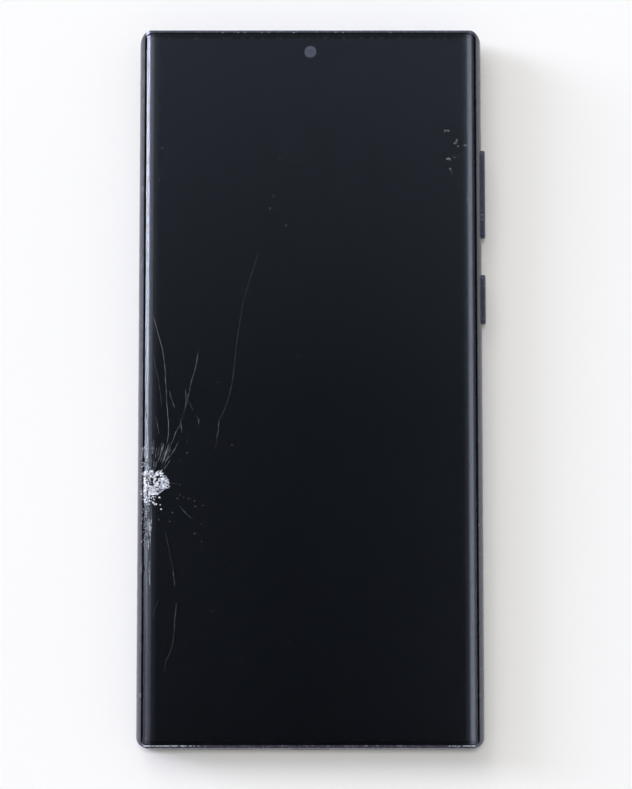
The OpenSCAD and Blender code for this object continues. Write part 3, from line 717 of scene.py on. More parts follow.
def glass_seat(side):
    """Room for a glass and its glue."""
    tool = skin("seat", -CUT, GLASS_T + GLUE_T, EDGE_ANGLE + LIP_ANGLE, HALF_H, side)
    low, high = (MIDDLE, FRONT + 2 * CUT) if side > 0 else (REAR - 2 * CUT, MIDDLE)
    trim(tool, RIM - SEAT_GAP, low, high)
    return tool


def panel_seat():
    """Room for the display and its backing sheet."""
    depth = FRONT - PANEL_LOW.z + BACKING_T
    return skin("panel_seat", -CUT, depth, PANEL_ANGLE + PANEL_GAP_ANGLE, PANEL_HIGH.y + GAP)


def body_form():
    """Outer form of the whole body: curved glass edges, round rails and rounded end rims."""
    low_curve = REAR + EDGE_R
    start = (-FLAT_X, REAR)
    moves = [
        (FLAT_X, REAR),
        (FLAT_X, low_curve, EDGE_ANGLE),
        (RAIL_CENTRE, MIDDLE, 2 * RAIL_ANGLE),
        (FLAT_X, CURVE_Z, EDGE_ANGLE),
        (-FLAT_X, FRONT),
        (-FLAT_X, CURVE_Z, EDGE_ANGLE),
        (-RAIL_CENTRE, MIDDLE, 2 * RAIL_ANGLE),
        (-FLAT_X, low_curve, EDGE_ANGLE),
    ]
    piece = prism("mid_frame_shell", "Y", -HALF_H - CUT, HALF_H + CUT, start, moves)
    trim(piece, 0, REAR - CUT, FRONT + CUT)
    ends = round_rect(HALF_H, (FRONT - REAR) / 2, RIM_EDGE_R, 0, MIDDLE)
    carve(piece, prism("ends", "X", -HALF_W - CUT, HALF_W + CUT, *ends), "INTERSECT")
    return piece


def end_slot(x, z, width, height, near, far):
    """A slot-shaped tool along the phone's length."""
    return prism("end_slot", "Y", near, far, *round_rect(width / 2, height / 2, height / 2, x, z))


def port_openings(piece):
    """Socket, speaker, stylus, card door and microphone openings in the bottom wall."""
    shell_low, shell_high = size_of("socket_shell")
    screen_low, screen_high = size_of("speaker_mesh")
    click_low, click_high = size_of("stylus_clicker")
    tray_low, tray_high = size_of("card_tray")
    mic_low, mic_high = size_of("bottom_microphone")
    outside, bay = -HALF_H - CUT, -BAY_Y + GAP
    slots = [
        (shell_low, shell_high, GAP, bay),
        (screen_low, screen_high, 0, bay),
        (click_low, click_high, MOVING_GAP, bay),
        (tray_low, tray_high, GAP, -HALF_H + DOOR_T),
    ]
    for low, high, gap, far in slots:
        centre = (low + high) / 2
        span = high - low
        tool = end_slot(centre.x, centre.z, span.x + 2 * gap, span.z + 2 * gap, outside, far)
        carve(piece, tool)
    tray_x = (tray_low.x + tray_high.x) / 2
    corner = (tray_x - TRAY_HALF_W, -HALF_H, MIDDLE - TRAY_HALF_T)
    far_corner = (tray_x + TRAY_HALF_W, bay, MIDDLE + TRAY_HALF_T)
    carve(piece, block("tray_way", corner, far_corner))
    mic_x = (mic_low.x + mic_high.x) / 2
    carve(piece, prism("mic_way", "Y", outside, bay, (mic_x + MIC_R, MIDDLE), [(mic_x, MIDDLE, 360)]))


def key_slot(node, gap):
    """Outline of a key's crown in the rail, with room round it."""
    low, high = size_of(node)
    half_l = (high.y - low.y) / 2 - FLANGE_PAST_CROWN + gap
    half_h = KEY_HALF_H + gap
    return round_rect(half_l, half_h, half_h, (low.y + high.y) / 2, MIDDLE)


def key_openings(piece):
    """Slots in the right rail for both keys."""
    for node in ("volume_rocker", "power_key"):
        carve(piece, prism("key_way", "X", BAY_X - GAP, HALF_W + CUT, *key_slot(node, MOVING_GAP)))


def camera_hole(low):
    """The front camera's way through a layer, from a height up to the face."""
    camera_low, camera_high = size_of("front_camera")
    return post("camera_way", 0, (camera_low.y + camera_high.y) / 2, PUNCH_R, low, FRONT)


def plate_openings(piece):
    """Camera hole and the windows for the fingerprint sensor and the vapour chamber."""
    carve(piece, camera_hole(PLATE_LOW - CUT))
    for node in ("fingerprint_sensor", "vapour_chamber"):
        low, high = size_of(node)
        corner = (low.x - GAP, low.y - GAP, PLATE_LOW - CUT)
        carve(piece, block("window", corner, (high.x + GAP, high.y + GAP, FRONT)))


def split_slabs():
    """Slices of the rails that the plastic splits take."""
    for x_sign in (-1, 1):
        for y_sign in (-1, 1):
            low, high = sorted((x_sign * BAY_X, x_sign * (HALF_W + CUT)))
            y = y_sign * (HALF_H - SPLIT_FROM_END)
            yield block("slab", (low, y - SPLIT_HALF_W, REAR - CUT), (high, y + SPLIT_HALF_W, FRONT + CUT))


def copied(piece, name):
    """A copy with its own mesh."""
    made = piece.copy()
    made.data = piece.data.copy()
    made.name = made.data.name = name
    bpy.context.scene.collection.objects.link(made)
    return made


def frame_pieces(metal, plastic):
    """Rails, end walls and plate in metal, and the plastic splits in the rails."""
    piece = body_form()
    carve(piece, glass_seat(1))
    carve(piece, glass_seat(-1))
    carve(piece, panel_seat())
    carve(piece, plan("bay", BAY_X, BAY_Y, BAY_R, REAR - CUT, PLATE_LOW))
    splits = copied(piece, "rail_splits")
    slabs = list(split_slabs())
    pick(slabs[0])
    for slab in slabs:
        slab.select_set(True)
    bpy.ops.object.join()
    both = copied(slabs[0], "slabs")
    carve(splits, both, "INTERSECT")
    carve(piece, slabs[0])
    key_openings(piece)
    port_openings(piece)
    plate_openings(piece)
    smooth(piece)
    smooth(splits)
    stand_in(piece, "handset", "frame_metal", metal, "mid_frame")
    stand_in(splits, "handset", "split_plastic", plastic, "antenna_splits")


# ---------------------------------------------------------------- glass and display


# Outline of the pit round the impact, and the bites out of the edge: their place along it from
# the impact, and their length
PIT = [
    (-3, -2.9), (-1.8, -4.2), (-0.6, -3.1), (0.3, -3.3), (0.9, -1.7), (2.4, -1.2), (3.4, 0.1),
    (2.2, 0.9), (1.9, 2.3), (0.6, 2.6), (0.1, 4), (-1.5, 3.7), (-3, 4.4),
]
EDGE_CHIPS = [(4.9, 2.6), (-5.3, 3.4), (-11.4, 1.6), (-19.2, 2.2)]


def broken_cover_glass(clear):
    """Front glass with its crushed pit and the bites out of its left edge."""
    piece = glass_plate("shattered_cover_glass", 1)
    pit = [(IMPACT.x + x, IMPACT.y + y) for x, y in PIT]
    carve(piece, prism("pit", "Z", FRONT - PIT_DEPTH, FRONT + 2 * CUT, pit[0], pit[1:] + pit[:1]))
    for along, length in EDGE_CHIPS:
        y = IMPACT.y + along
        bite = [
            (-EDGE_X - CUT, y - length / 2),
            (-EDGE_X + CHIP_DEPTH, y - length / 6),
            (-EDGE_X + CHIP_DEPTH * 0.7, y + length / 5),
            (-EDGE_X - CUT, y + length / 2),
        ]
        carve(piece, prism("bite", "Z", CURVE_Z, FRONT, bite[0], bite[1:] + bite[:1]))
    smooth(piece)
    stand_in(piece, "handset", "front_glass", clear, "cover_glass")


def display(dark):
    """The switched-off panel under the glass, with the hole for the front camera."""
    panel = skin("display_sheet", GLASS_T + FILM, GLASS_T + PANEL_T, PANEL_ANGLE, PANEL_HIGH.y)
    carve(panel, camera_hole(PANEL_LOW.z - CUT))
    smooth(panel)
    stand_in(panel, "handset", "display", dark, "display_panel")


def glue_line(glue):
    """Dark glue that fills the seat round and under the glass, a film clear of both."""
    clear_angle = 0.2
    outer_angle = EDGE_ANGLE + LIP_ANGLE - clear_angle
    ring = skin("front_glue_line", SEAM_DEPTH, GLASS_T + GLUE_T - FILM, outer_angle, HALF_H)
    trim(ring, RIM - SEAT_GAP + FILM / 2, MIDDLE, FRONT + CUT)
    glass_room = skin("glass_room", -CUT, GLASS_T + FILM / 2, GLASS_ANGLE + clear_angle, HALF_H)
    trim(glass_room, RIM - FILM / 2, MIDDLE, FRONT + 2 * CUT, END_GAP)
    carve(ring, glass_room)
    carve(ring, panel_seat())
    smooth(ring)
    stand_in(ring, "handset", "glue", glue, "front_gasket")


def rear_cover(satin):
    """Rear glass with the holes for the camera rings and the flash."""
    piece = glass_plate("rear_cover_glass", -1)
    for node in ("camera_ring_upper", "camera_ring_middle", "camera_ring_lower", "flash_lens"):
        low, high = size_of(node)
        centre = (low + high) / 2
        r = (high.x - low.x) / 2 - (RING_HOLE_IN if "ring" in node else FLASH_HOLE_IN)
        carve(piece, post("hole", centre.x, centre.y, r, REAR - CUT, BAY_LOW + CUT))
    smooth(piece)
    stand_in(piece, "handset", "rear_glass", satin, "rear_glass")


# ---------------------------------------------------------------- cracks and crushed glass


# Each crack: how bright its painted glint is, for the light it catches (0 faint, 1 clear, 2 bright), and its
# course
CRACKS = [
    (1, [(-35.45, 15.65), (-34.3, 11.5), (-33.3, 7.8), (-32.7, 3.4), (-32.5, -0.4)]),
    (1, [(-32.5, -0.4), (-32.25, -5.2), (-31.9, -8.4), (-31.9, -11.4), (-32.3, -13.4)]),
    (0, [(-32.3, -13.4), (-33.1, -16.4), (-33.6, -19)]),
    (0, [(-35.45, 6.6), (-34.45, 2.1), (-33.8, -1.8), (-33.5, -4.8)]),
    (1, [(-25.2, 7.6), (-25.7, 4.6), (-26.65, 1.2), (-27.5, -2.7), (-27.9, -4.7)]),
    (0, [(-27.9, -4.7), (-28.7, -7.2), (-29.4, -9.3)]),
    (1, [(-29.4, -9.3), (-30.5, -11.5), (-31.4, -14), (-32.3, -15.7)]),
    (0, [(-32.3, -15.7), (-33.1, -17.9), (-33.5, -19)]),
    (1, [(-28.15, -1.2), (-27.9, -3.6), (-28.1, -5.2)]),
    (1, [(-27.5, -3.6), (-26.4, -5.9)]),
    (1, [(-25.8, -7), (-25.1, -7.9), (-25.1, -9.4)]),
    (1, [(-31.7, -1.4), (-31.3, -3.1), (-30.5, -5.3)]),
    (1, [(-29.3, -7.7), (-29.1, -9), (-28.9, -10.9)]),
    (1, [(-29.8, -13.3), (-30.8, -15.3), (-32, -16.8), (-32.6, -17.4)]),
    (0, [(-27.5, -12), (-28, -13.5)]),
    (1, [(-34.9, -7.2), (-34.3, -9.4), (-34.1, -11.2)]),
    (2, [(-35.6, -13.1), (-35.55, -15.7)]),
    (0, [(-33.3, -12.9), (-33.7, -14.4), (-34.15, -16.6), (-34.6, -18.3)]),
    (0, [(-11.7, 30.2), (-12.3, 28.4), (-13.9, 23.1), (-14.5, 21.3), (-15.1, 19)]),
    (0, [(-15.1, 19), (-15.9, 14.3), (-16.5, 10.3), (-17.2, 3.9), (-17.6, 0.4)]),
    (0, [(-17.6, 0.4), (-18.2, -2.2), (-18.9, -4.6), (-19.7, -6.6), (-20.6, -8.1)]),
    (1, [(-20.6, -8.1), (-20.7, -10.5), (-21, -11.8), (-21, -13.1)]),
    (0, [(-21, -13.1), (-21.4, -14.6), (-21.9, -15.1)]),
    (0, [(-32.7, -32.8), (-32.15, -35.1), (-31.4, -38.5), (-30.7, -42)]),
    (1, [(-30.7, -42), (-30.3, -45.5)]),
    (1, [(-29.9, -49.4), (-30.2, -52.4), (-30.4, -55.3)]),
    (0, [(-30.4, -55.3), (-30.7, -58.4), (-31.4, -60.8), (-32.3, -62.2), (-32.5, -64.6)]),
    (0, [(-34, -48.7), (-34.8, -50.9), (-35.1, -52.4)]),
    (1, [(-29.5, -27.4), (-28.2, -28.9), (-26.5, -30.5)]),
    (0, [(-31.4, -22.4), (-29.4, -22.6)]),
    (0, [(-35.6, 30), (-36.2, 27.4), (-37.1, 25.2)]),
    (0, [(-35.5, 20.3), (-36.3, 18.6), (-37.2, 17.6)]),
    (0, [(-35.6, 14.8), (-36.4, 12.9), (-37.2, 11.5)]),
    (0, [(-35.9, 1.4), (-36.6, -0.8), (-37.2, -3.6)]),
    (0, [(-37.3, -4.2), (-36.7, -7.4), (-36.2, -10.8), (-36.6, -13.6)]),
]
SPECKS = [
    (-29.3, -24.9), (-28.4, -25.6), (-29.8, -25.8), (-27.3, -25.9), (-26, -26.3), (-25.8, -27.6),
    (-24.1, -27.4), (-24.4, -31.6), (-25.9, -33.7), (-24.3, -35.5), (-24.3, -36.9), (-17.6, -13.7),
    (-29.3, -17.2), (-34, -30.6), (-31.5, -31), (-30.9, -29), (-20.8, 0.5), (-15.3, 25.6),
    (-15.4, 21.5), (-19.1, -39.6), (-19.9, -46.8), (-21.8, -51.1), (-28.1, -57.8), (-4.7, -58),
    (-15.3, -62.5), (1.6, 7.4), (-2.7, 6.4), (-9.1, 40.3), (-5.5, 36.4), (-2, 42.2), (-33.7, 54.2),
    (-34.4, 46.8), (-7.1, 52.1), (-5.5, 52.8), (-8.4, 43.1), (-27.7, -15.5), (-29.2, -22.7),
]
# Crushed zone round the impact, with the heart its petals point away from
CRUSHED = [
    (-2.95, 2.7), (-1.2, 2.75), (-0.3, 2.5), (1.3, 2.8), (1.75, 1.9), (2.7, 1.1), (3.3, -0.4),
    (3.0, -1.1), (1.1, -2.0), (0.45, -2.5), (-2.95, -3.1),
]
HEART = (-2.3, -0.3)
SPLINTERS = 340
SPLINTER_TILT = 0.26
SPLINTER_GAPS = 64
STRANDS = 24
STREAKS = 46

# Cracks are ridges of this half width, bent a little at every step and thin at their tips
CRACK_HALF_W = 0.033
CRACK_STEP = 0.9
CRACK_SHAKE = 0.04
TIP_THIN = 0.35


def on_glass(x, y, lift=0.0):
    """Point on the cover glass over a place in plan, raised by a lift, in metres."""
    reach = min(abs(x) - FLAT_X, EDGE_R * math.sin(math.radians(GLASS_ANGLE)))
    if reach <= 0:
        return Vector((x, y, FRONT + lift)) * MM
    lean = math.asin(reach / EDGE_R)
    side = math.copysign(1, x)
    r = EDGE_R + lift
    return Vector((side * (FLAT_X + r * math.sin(lean)), y, CURVE_Z + r * math.cos(lean))) * MM


def thread(name, half_width, lines, dice, lift=0.0):
    """Fine crooked ridges that follow lines over the glass and thin out at their ends."""
    courses = []
    for points in lines:
        course = [Vector(points[0])]
        for a, b in zip(points, points[1:]):
            a, b = Vector(a), Vector(b)
            cuts = max(1, round((b - a).length / CRACK_STEP))
            for i in range(1, cuts + 1):
                shake = Vector((dice.gauss(0, CRACK_SHAKE), dice.gauss(0, CRACK_SHAKE)))
                course.append(a.lerp(b, i / cuts) + shake)
        courses.append([on_glass(*spot, lift) for spot in course])
    deselect()
    bpy.ops.mesh.primitive_plane_add(size=MM, location=courses[0][0])
    piece = bpy.context.object
    piece.name = name
    bpy.ops.object.transform_apply()
    edit(piece)
    bpy.ops.mesh.select_mode(type="VERT")
    bpy.ops.mesh.merge(type="CENTER")
    here = courses[0][0]
    for n, course in enumerate(courses):
        if n:
            hop = course[0] - here
            bpy.ops.mesh.duplicate_move(TRANSFORM_OT_translate={"value": hop})
            here = course[0]
        for spot in course[1:]:
            step = spot - here
            bpy.ops.mesh.extrude_vertices_move(TRANSFORM_OT_translate={"value": step})
            here = spot
    bpy.ops.object.mode_set(mode="OBJECT")
    bpy.ops.object.convert(target="CURVE")
    line = piece.data
    line.bevel_depth = half_width * MM
    line.bevel_resolution = 0
    line.use_fill_caps = True
    for spline in line.splines:
        last = len(spline.points) - 1
        for i, point in enumerate(spline.points):
            thin = TIP_THIN if i in (0, last) else 1
            point.radius = thin * dice.uniform(0.55, 1.1)
    bpy.ops.object.convert(target="MESH")
    piece.data.name = name
    return piece


def shard_shapes(dice):
    """A few different splinters of glass, one millimetre across."""
    shapes = []
    for _ in range(7):
        deselect()
        bpy.ops.mesh.primitive_ico_sphere_add(subdivisions=1, radius=0.5 * MM)
        shape = bpy.context.object
        edit(shape)
        bpy.ops.transform.vertex_random(offset=0.2 * MM, uniform=0.1, seed=dice.randint(1, 999))
        bpy.ops.object.mode_set(mode="OBJECT")
        shapes.append(shape)
    return shapes


def scatter(name, shapes, spots, dice):
    """Copies of a few shapes, joined. A spot is its place, its sizes, its heading and its lean."""
    copies = []
    for spot, sizes, heading, lean in spots:
        made = copied(dice.choice(shapes), name)
        turn = Matrix.Rotation(-lean, 3, "Y") @ Matrix.Rotation(heading, 3, "Z")
        turn = turn @ Matrix.Rotation(dice.uniform(-SPLINTER_TILT, SPLINTER_TILT), 3, "Y")
        made.matrix_world = Matrix.LocRotScale(spot, turn.to_quaternion(), Vector(sizes))
        copies.append(made)
    deselect()
    for made in copies:
        made.select_set(True)
    bpy.context.view_layer.objects.active = copies[0]
    bpy.ops.object.join()
    bpy.ops.object.transform_apply()
    piece = bpy.context.object
    piece.name = piece.data.name = name
    return piece


def glass_lean(x):
    """How far the glass leans outwards over a place on the left side."""
    reach = min(max(-x - FLAT_X, 0), EDGE_R * math.sin(math.radians(EDGE_ANGLE)))
    return math.asin(reach / EDGE_R)


def on_rail(x, y):
    """Point on the left rail's upper face."""
    reach = -x - RAIL_CENTRE
    return Vector((x, y, MIDDLE + math.sqrt(RAIL_R**2 - reach**2))) * MM


def inside(x, y, ring):
    """Whether a place lies within an outline."""
    odd = False
    for (x0, y0), (x1, y1) in zip(ring, ring[1:] + ring[:1]):
        if (y0 > y) != (y1 > y) and x < x0 + (y - y0) * (x1 - x0) / (y1 - y0):
            odd = not odd
    return odd


def crushed_spots(dice):
    """Splinters of the crushed zone: broad near its heart, long petals towards its tips."""
    xs, ys = zip(*CRUSHED)
    spots = []
    while len(spots) < SPLINTERS:
        x = dice.uniform(min(xs), max(xs))
        y = dice.uniform(min(ys), max(ys))
        bare = math.sin(x * 5.3 + 1) * math.sin(y * 4.7 + x * 2) > 0.82
        if bare or not inside(x, y, CRUSHED):
            continue
        away = Vector((x - HEART[0], y - HEART[1]))
        petal = min(away.length / 4.5, 1)
        size = dice.uniform(0.22, 0.5)
        sizes = (size * (1 + 1.2 * petal), size * (1 - 0.4 * petal), dice.uniform(0.12, 0.22))
        heading = math.atan2(away.y, away.x) + dice.gauss(0, 0.25 + 1.2 * (1 - petal))
        spot_x = IMPACT.x + x
        sunk = -dice.uniform(0.06, 0.18) if spot_x > -FLAT_X - 1 else 0.0
        spots.append((on_glass(spot_x, IMPACT.y + y, sunk), sizes, heading, glass_lean(spot_x)))
    return spots


def grain_spots(dice, count, low, high, smallest, largest, place_at=on_glass):
    """Small grains strewn over a patch."""
    spots = []
    for _ in range(count):
        x, y = dice.uniform(low[0], high[0]), dice.uniform(low[1], high[1])
        size = dice.uniform(smallest, largest)
        sizes = (size, size * dice.uniform(0.5, 1), size * 0.5)
        spots.append((place_at(x, y), sizes, dice.uniform(0, math.tau), glass_lean(x)))
    return spots


def crushed_gaps(dice):
    """Lines of painted shade for the gaps between the splinters, most of them pointing away from the heart.
    """
    lines = []
    while len(lines) < SPLINTER_GAPS:
        along = dice.uniform(0, math.tau)
        near = dice.uniform(0.3, 4.6)
        far = near + dice.uniform(0.5, 1.5)
        sway = dice.gauss(0, 0.1)
        if dice.random() < 0.3:
            far, sway = near, dice.uniform(0.3, 0.9)
        line = [
            Vector((HEART[0] + r * math.cos(a), HEART[1] + r * math.sin(a)))
            for r, a in ((near, along), ((near + far) / 2, along + sway / 2), (far, along + sway))
        ]
        if all(inside(*spot, CRUSHED) for spot in line):
            lines.append([IMPACT + spot for spot in line])
    return lines


def crushed_zone(white, gap_shade_paint, shapes, dice):
    """The crushed zone with the painted shade of its gaps, and the grains that it shed over glass and rail.
    """
    zone = scatter("crushed_glass_splinters", shapes, crushed_spots(dice), dice)
    stand_in(zone, "handset", "front_glass", white)
    # Black ridges just over the splinters: painted shade in the gaps between them
    gap_shade = thread("splinter_gap_shade", 0.045, crushed_gaps(dice), dice, 0.08)
    stand_in(gap_shade, "handset", "front_glass", gap_shade_paint)
    patches = [
        (62, (-37.4, -27.3), (-34.7, -25.3), 0.12, 0.34),
        (60, (-37.4, -18.6), (-36.3, -12), 0.08, 0.24),
        (70, (-38.2, -26), (-37.3, -14), 0.08, 0.28, on_rail),
        (26, (-37.9, -36), (-37.2, -28), 0.08, 0.24, on_rail),
        (12, (-38.2, -42.5), (-37.6, -38), 0.08, 0.18, on_rail),
    ]
    loose = [(-33.9, -24.5), (-33.9, -25.6), (-34.5, -27.1), (-33.7, -27.3), (-33.4, -28.2)]
    patches += [(3, (x - 0.12, y - 0.12), (x + 0.12, y + 0.12), 0.18, 0.36) for x, y in loose]
    spots = [spot for patch in patches for spot in grain_spots(dice, *patch)]
    grains = scatter("loose_glass_grains", shapes, spots, dice)
    stand_in(grains, "handset", "front_glass", white)


def fan_lines(dice):
    """Strands that run down into the top of the crushed zone, and streaks below it."""
    strands = []
    for i in range(STRANDS):
        t = i / (STRANDS - 1)
        low = Vector((-36 + 3 * t, -19.6))
        high = Vector((-36 + 6.5 * t, -12.4 + dice.uniform(-1.5, 2.5)))
        a = dice.uniform(0, 0.5)
        b = a + dice.uniform(0.25, 0.5)
        strands.append([low.lerp(high, a), low.lerp(high, (a + b) / 2), low.lerp(high, min(b, 1))])
    streaks = []
    for _ in range(STREAKS):
        x = dice.uniform(-37.35, -35.5)
        top = dice.uniform(-31.5, -26.6)
        length = dice.uniform(1.5, 6)
        sway = dice.uniform(-0.05, 0.1) * length
        streaks.append([(x, top), (x + sway / 2, top - length / 2), (x + sway, top - length)])
    for tip, top, width in (((-36.2, -37.8), -32.5, 0.55), ((-35.9, -45.2), -39.8, 0.3)):
        for _ in range(9):
            x = tip[0] + dice.uniform(-width, width)
            streaks.append([(x, top - dice.uniform(0, 2.5)), tip])
    return strands, streaks


def cracks(dice):
    """All the cracks, in three strengths of painted glint."""
    strands, streaks = fan_lines(dice)
    levels = (("faint_crack_glint", 0.12), ("clear_crack_glint", 0.42), ("bright_crack_glint", 1.0))
    extra = (streaks[::2], strands + streaks[1::2], streaks[::7])
    for level, (name, strength) in enumerate(levels):
        lines = [points for rank, points in CRACKS if rank == level] + extra[level]
        piece = thread(name, CRACK_HALF_W, lines, dice)
        stand_in(piece, "handset", "front_glass", crack_paint(name, strength))


def specks(shapes, dice):
    """Dust on the screen."""
    spots = [spot for place in SPECKS for spot in grain_spots(dice, 1, place, place, 0.1, 0.26)]
    piece = scatter("dust_specks", shapes, spots, dice)
    stand_in(piece, "handset", "front_glass", dust_paint())


def scuffs(shapes, dice):
    """Scuffed spots on the right side of the screen."""
    patches = [
        (9, (30.4, 57.8), (31.5, 58.5)), (9, (32.7, 55.2), (33.4, 56.1)), (5, (33.4, 54.6), (35.6, 55)),
        (8, (31.0, 51.4), (31.8, 51.9)), (3, (32, 51.9), (33.9, 52.4)), (4, (31.7, 48.3), (32.4, 49.6)),
        (2, (33.5, 45.2), (33.9, 45.6)), (2, (35.3, 42.4), (35.7, 42.9)),
    ]
    spots = [spot for patch in patches for spot in grain_spots(dice, *patch, 0.1, 0.3)]
    piece = scatter("scuff_marks", shapes, spots, dice)
    stand_in(piece, "handset", "front_glass", dust_paint())


def rim_nicks_and_highlights(shapes, dice):
    """Small pale marks on the end rims, at the corners and on the left rail: nicks on the top rim and the
    rail, and a painted highlight of the edge catching the light along the bottom rim, crowded at its two
    corners.
    """
    spots = []
    thick = 0.08
    rim_z = FRONT - 0.03
    inner = HALF_H - RIM

    def pale_mark(x, y, z, long, wide, heading=0.0):
        spots.append((Vector((x, y, z)) * MM, (long, wide, thick), heading, 0.0))

    # Nicks on the top rim
    for x in (-20.1, -16.5, -14.9, -11, -9.6, -3.9, 7.5, 18.3):
        pale_mark(x, inner + 0.1, rim_z, dice.uniform(0.2, 0.7), 0.1)
    # Along the bottom rim, crowded at its two corners: painted highlight of the rim's edge catching the
    # light
    for _ in range(60):
        x = dice.uniform(-36, 36)
        pale_mark(x, -inner - 0.15, rim_z, dice.uniform(0.15, 0.5), 0.09)
    for corner, spread, count in ((-36.8, 5, 70), (36.6, -2.2, 16)):
        for _ in range(count):
            x = corner + abs(dice.gauss(0, 1)) * spread
            pale_mark(x, -inner - 0.2, rim_z, dice.uniform(0.3, 0.9), dice.uniform(0.14, 0.24))
    # Nicks on the left rail
    for y in (45.4, 44.9, 38.6):
        pale_mark(-38.2, y, on_rail(-38.2, y).z / MM, 0.25, 0.12, 1.3)
    piece = scatter("rim_nicks_and_highlights", shapes, spots, dice)
    stand_in(piece, "handset", "frame_metal", nick_and_highlight_paint())


# ---------------------------------------------------------------- keys


def side_key(node, name, body, metal):
    """A key with a softened crown and the inner flange that keeps it in."""
    low, high = size_of(node)
    flange_x = low.x + FLANGE_T
    crown = prism(name, "X", flange_x - GAP, high.x, *key_slot(node, 0))
    edit(crown)
    bpy.ops.mesh.select_mode(type="FACE")
    bpy.ops.mesh.select_all(action="DESELECT")
    bpy.ops.object.mode_set(mode="OBJECT")
    for face in crown.data.polygons:
        face.select = face.center.x > (high.x - 0.001) * MM
    bpy.ops.object.mode_set(mode="EDIT")
    bpy.ops.mesh.bevel(offset=0.32 * MM, segments=5, affect="EDGES")
    bpy.ops.object.mode_set(mode="OBJECT")
    corner = (low.x, low.y, MIDDLE - FLANGE_HALF_H)
    carve(crown, block("flange", corner, (flange_x, high.y, MIDDLE + FLANGE_HALF_H)), "UNION")
    smooth(crown, 40)
    stand_in(crown, body, "frame_metal", metal, node)


# ---------------------------------------------------------------- rear cameras


def camera(place_name, metal, clear, coated):
    """A polished ring, its window and the lens under it."""
    low, high = size_of("camera_ring_" + place_name)
    x, y = (low.x + high.x) / 2, (low.y + high.y) / 2
    ring_r = (high.x - low.x) / 2 - RING_FLANGE
    flange_r = ring_r + RING_FLANGE
    window_r = ring_r - 0.95
    throat_r = ring_r - 1.6
    top = BAY_LOW + 0.4
    ring = lathe(
        "lens_ring_" + place_name,
        x,
        y,
        [
            (ring_r, 0.35), (ring_r, BAY_LOW), (flange_r, BAY_LOW), (flange_r, top), (throat_r, top),
            (throat_r, WINDOW_TOP), (window_r + 0.05, WINDOW_TOP), (window_r + 0.05, 0.14),
            (window_r + 0.2, 0), (ring_r - 0.35, 0), (ring_r - 0.17, 0.05), (ring_r - 0.05, 0.17),
        ],
    )
    smooth(ring, 32)
    stand_in(ring, "handset", "frame_metal", metal, "camera_ring_" + place_name)
    window = lathe(
        "lens_window_" + place_name,
        x,
        y,
        [(0, 0.1), (window_r - 0.1, 0.1), (window_r, 0.2), (window_r, WINDOW_TOP), (0, WINDOW_TOP)],
    )
    smooth(window, 32)
    stand_in(window, "handset", "lens_glass", clear, "camera_window_" + place_name)
    dome_r, floor, rise = 2.6, 1.53, 0.33
    arc = [(dome_r * math.sin(a), floor - rise * math.cos(a)) for a in [i * math.pi / 16 for i in range(8)]]
    lens = lathe("lens_dome_" + place_name, x, y, arc + [(dome_r, floor), (0, floor)], 64)
    smooth(lens, 32)
    stand_in(lens, "handset", "lens_glass", coated)


# ---------------------------------------------------------------- finishes on the frame's nodes


def finish_nodes(finishes):
    """Every piece of the frame that stays as it is takes its own finish."""
    for paint, nodes in finishes:
        for node in nodes:
            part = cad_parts[node]
            part.data.materials.clear()
            part.data.materials.append(paint.material)


# ---------------------------------------------------------------- table, light and camera


CAMERA_DISTANCE = 800
CAMERA_TILT = 7.5
CAMERA_TARGET = Vector((1.28, -2.29, FRONT))
CAMERA_LENS = 163.5


def add_camera():
    """A long lens over the screen, tilted a little towards the foot."""
    deselect()
    foot_y = CAMERA_TARGET.y - CAMERA_DISTANCE * math.tan(math.radians(CAMERA_TILT))
    spot = Vector((CAMERA_TARGET.x, foot_y, FRONT + CAMERA_DISTANCE))
    bpy.ops.object.camera_add(location=spot * MM)
    camera_object = bpy.context.object
    camera_object.rotation_euler = ((CAMERA_TARGET - spot).to_track_quat("-Z", "Y")).to_euler()
    camera_object.data.lens = CAMERA_LENS
    camera_object.data.sensor_width = 36
    camera_object.data.clip_start = 0.01
    camera_object.data.clip_end = 20
    bpy.context.scene.camera = camera_object


def table_top():
    """A pale matt table. The phone rests on its bottom edge and its lowest camera ring."""
    contact_y = size_of("camera_ring_lower")[0].y + RING_FLANGE
    slope = math.atan2(REAR, contact_y + HALF_H)
    deselect()
    bpy.ops.mesh.primitive_plane_add(size=3)
    floor = bpy.context.object
    floor.name = "table_top"
    floor.rotation_euler = (-slope, 0, 0)
    floor.location = (0, contact_y * MM, 0)
    bpy.ops.object.transform_apply()
    paint = Paint("table", (0.852, 0.838, 0.815), 0.8)
    paint.tint(paint.ramp(paint.grain(60, 3), 0.3, 0.7, 0.0, 0.5), (0.84, 0.829, 0.807))
    paint.set("Specular IOR Level", 0.0)
    floor.data.materials.append(paint.material)


def lamp(name, spot, aim, size, power):
    """A soft lamp at a place in metres, aimed at a point, that mirrors don't see."""
    deselect()
    bpy.ops.object.light_add(type="AREA", location=spot)
    made = bpy.context.object
    made.name = name
    made.rotation_euler = ((Vector(aim) - Vector(spot)).to_track_quat("-Z", "Y")).to_euler()
    made.data.shape = "RECTANGLE"
    made.data.size, made.data.size_y = size
    made.data.energy = power
    made.visible_camera = False
    made.visible_glossy = False
    made.visible_transmission = False


def background(sky, colour, strength):
    """A colour whose strength is a number or a value that is worked out."""
    made = sky.node("ShaderNodeBackground")
    made.inputs["Color"].default_value = (*colour, 1)
    if isinstance(strength, float):
        made.inputs["Strength"].default_value = strength
    else:
        sky.wire(strength, made.inputs["Strength"])
    return made.outputs[0]


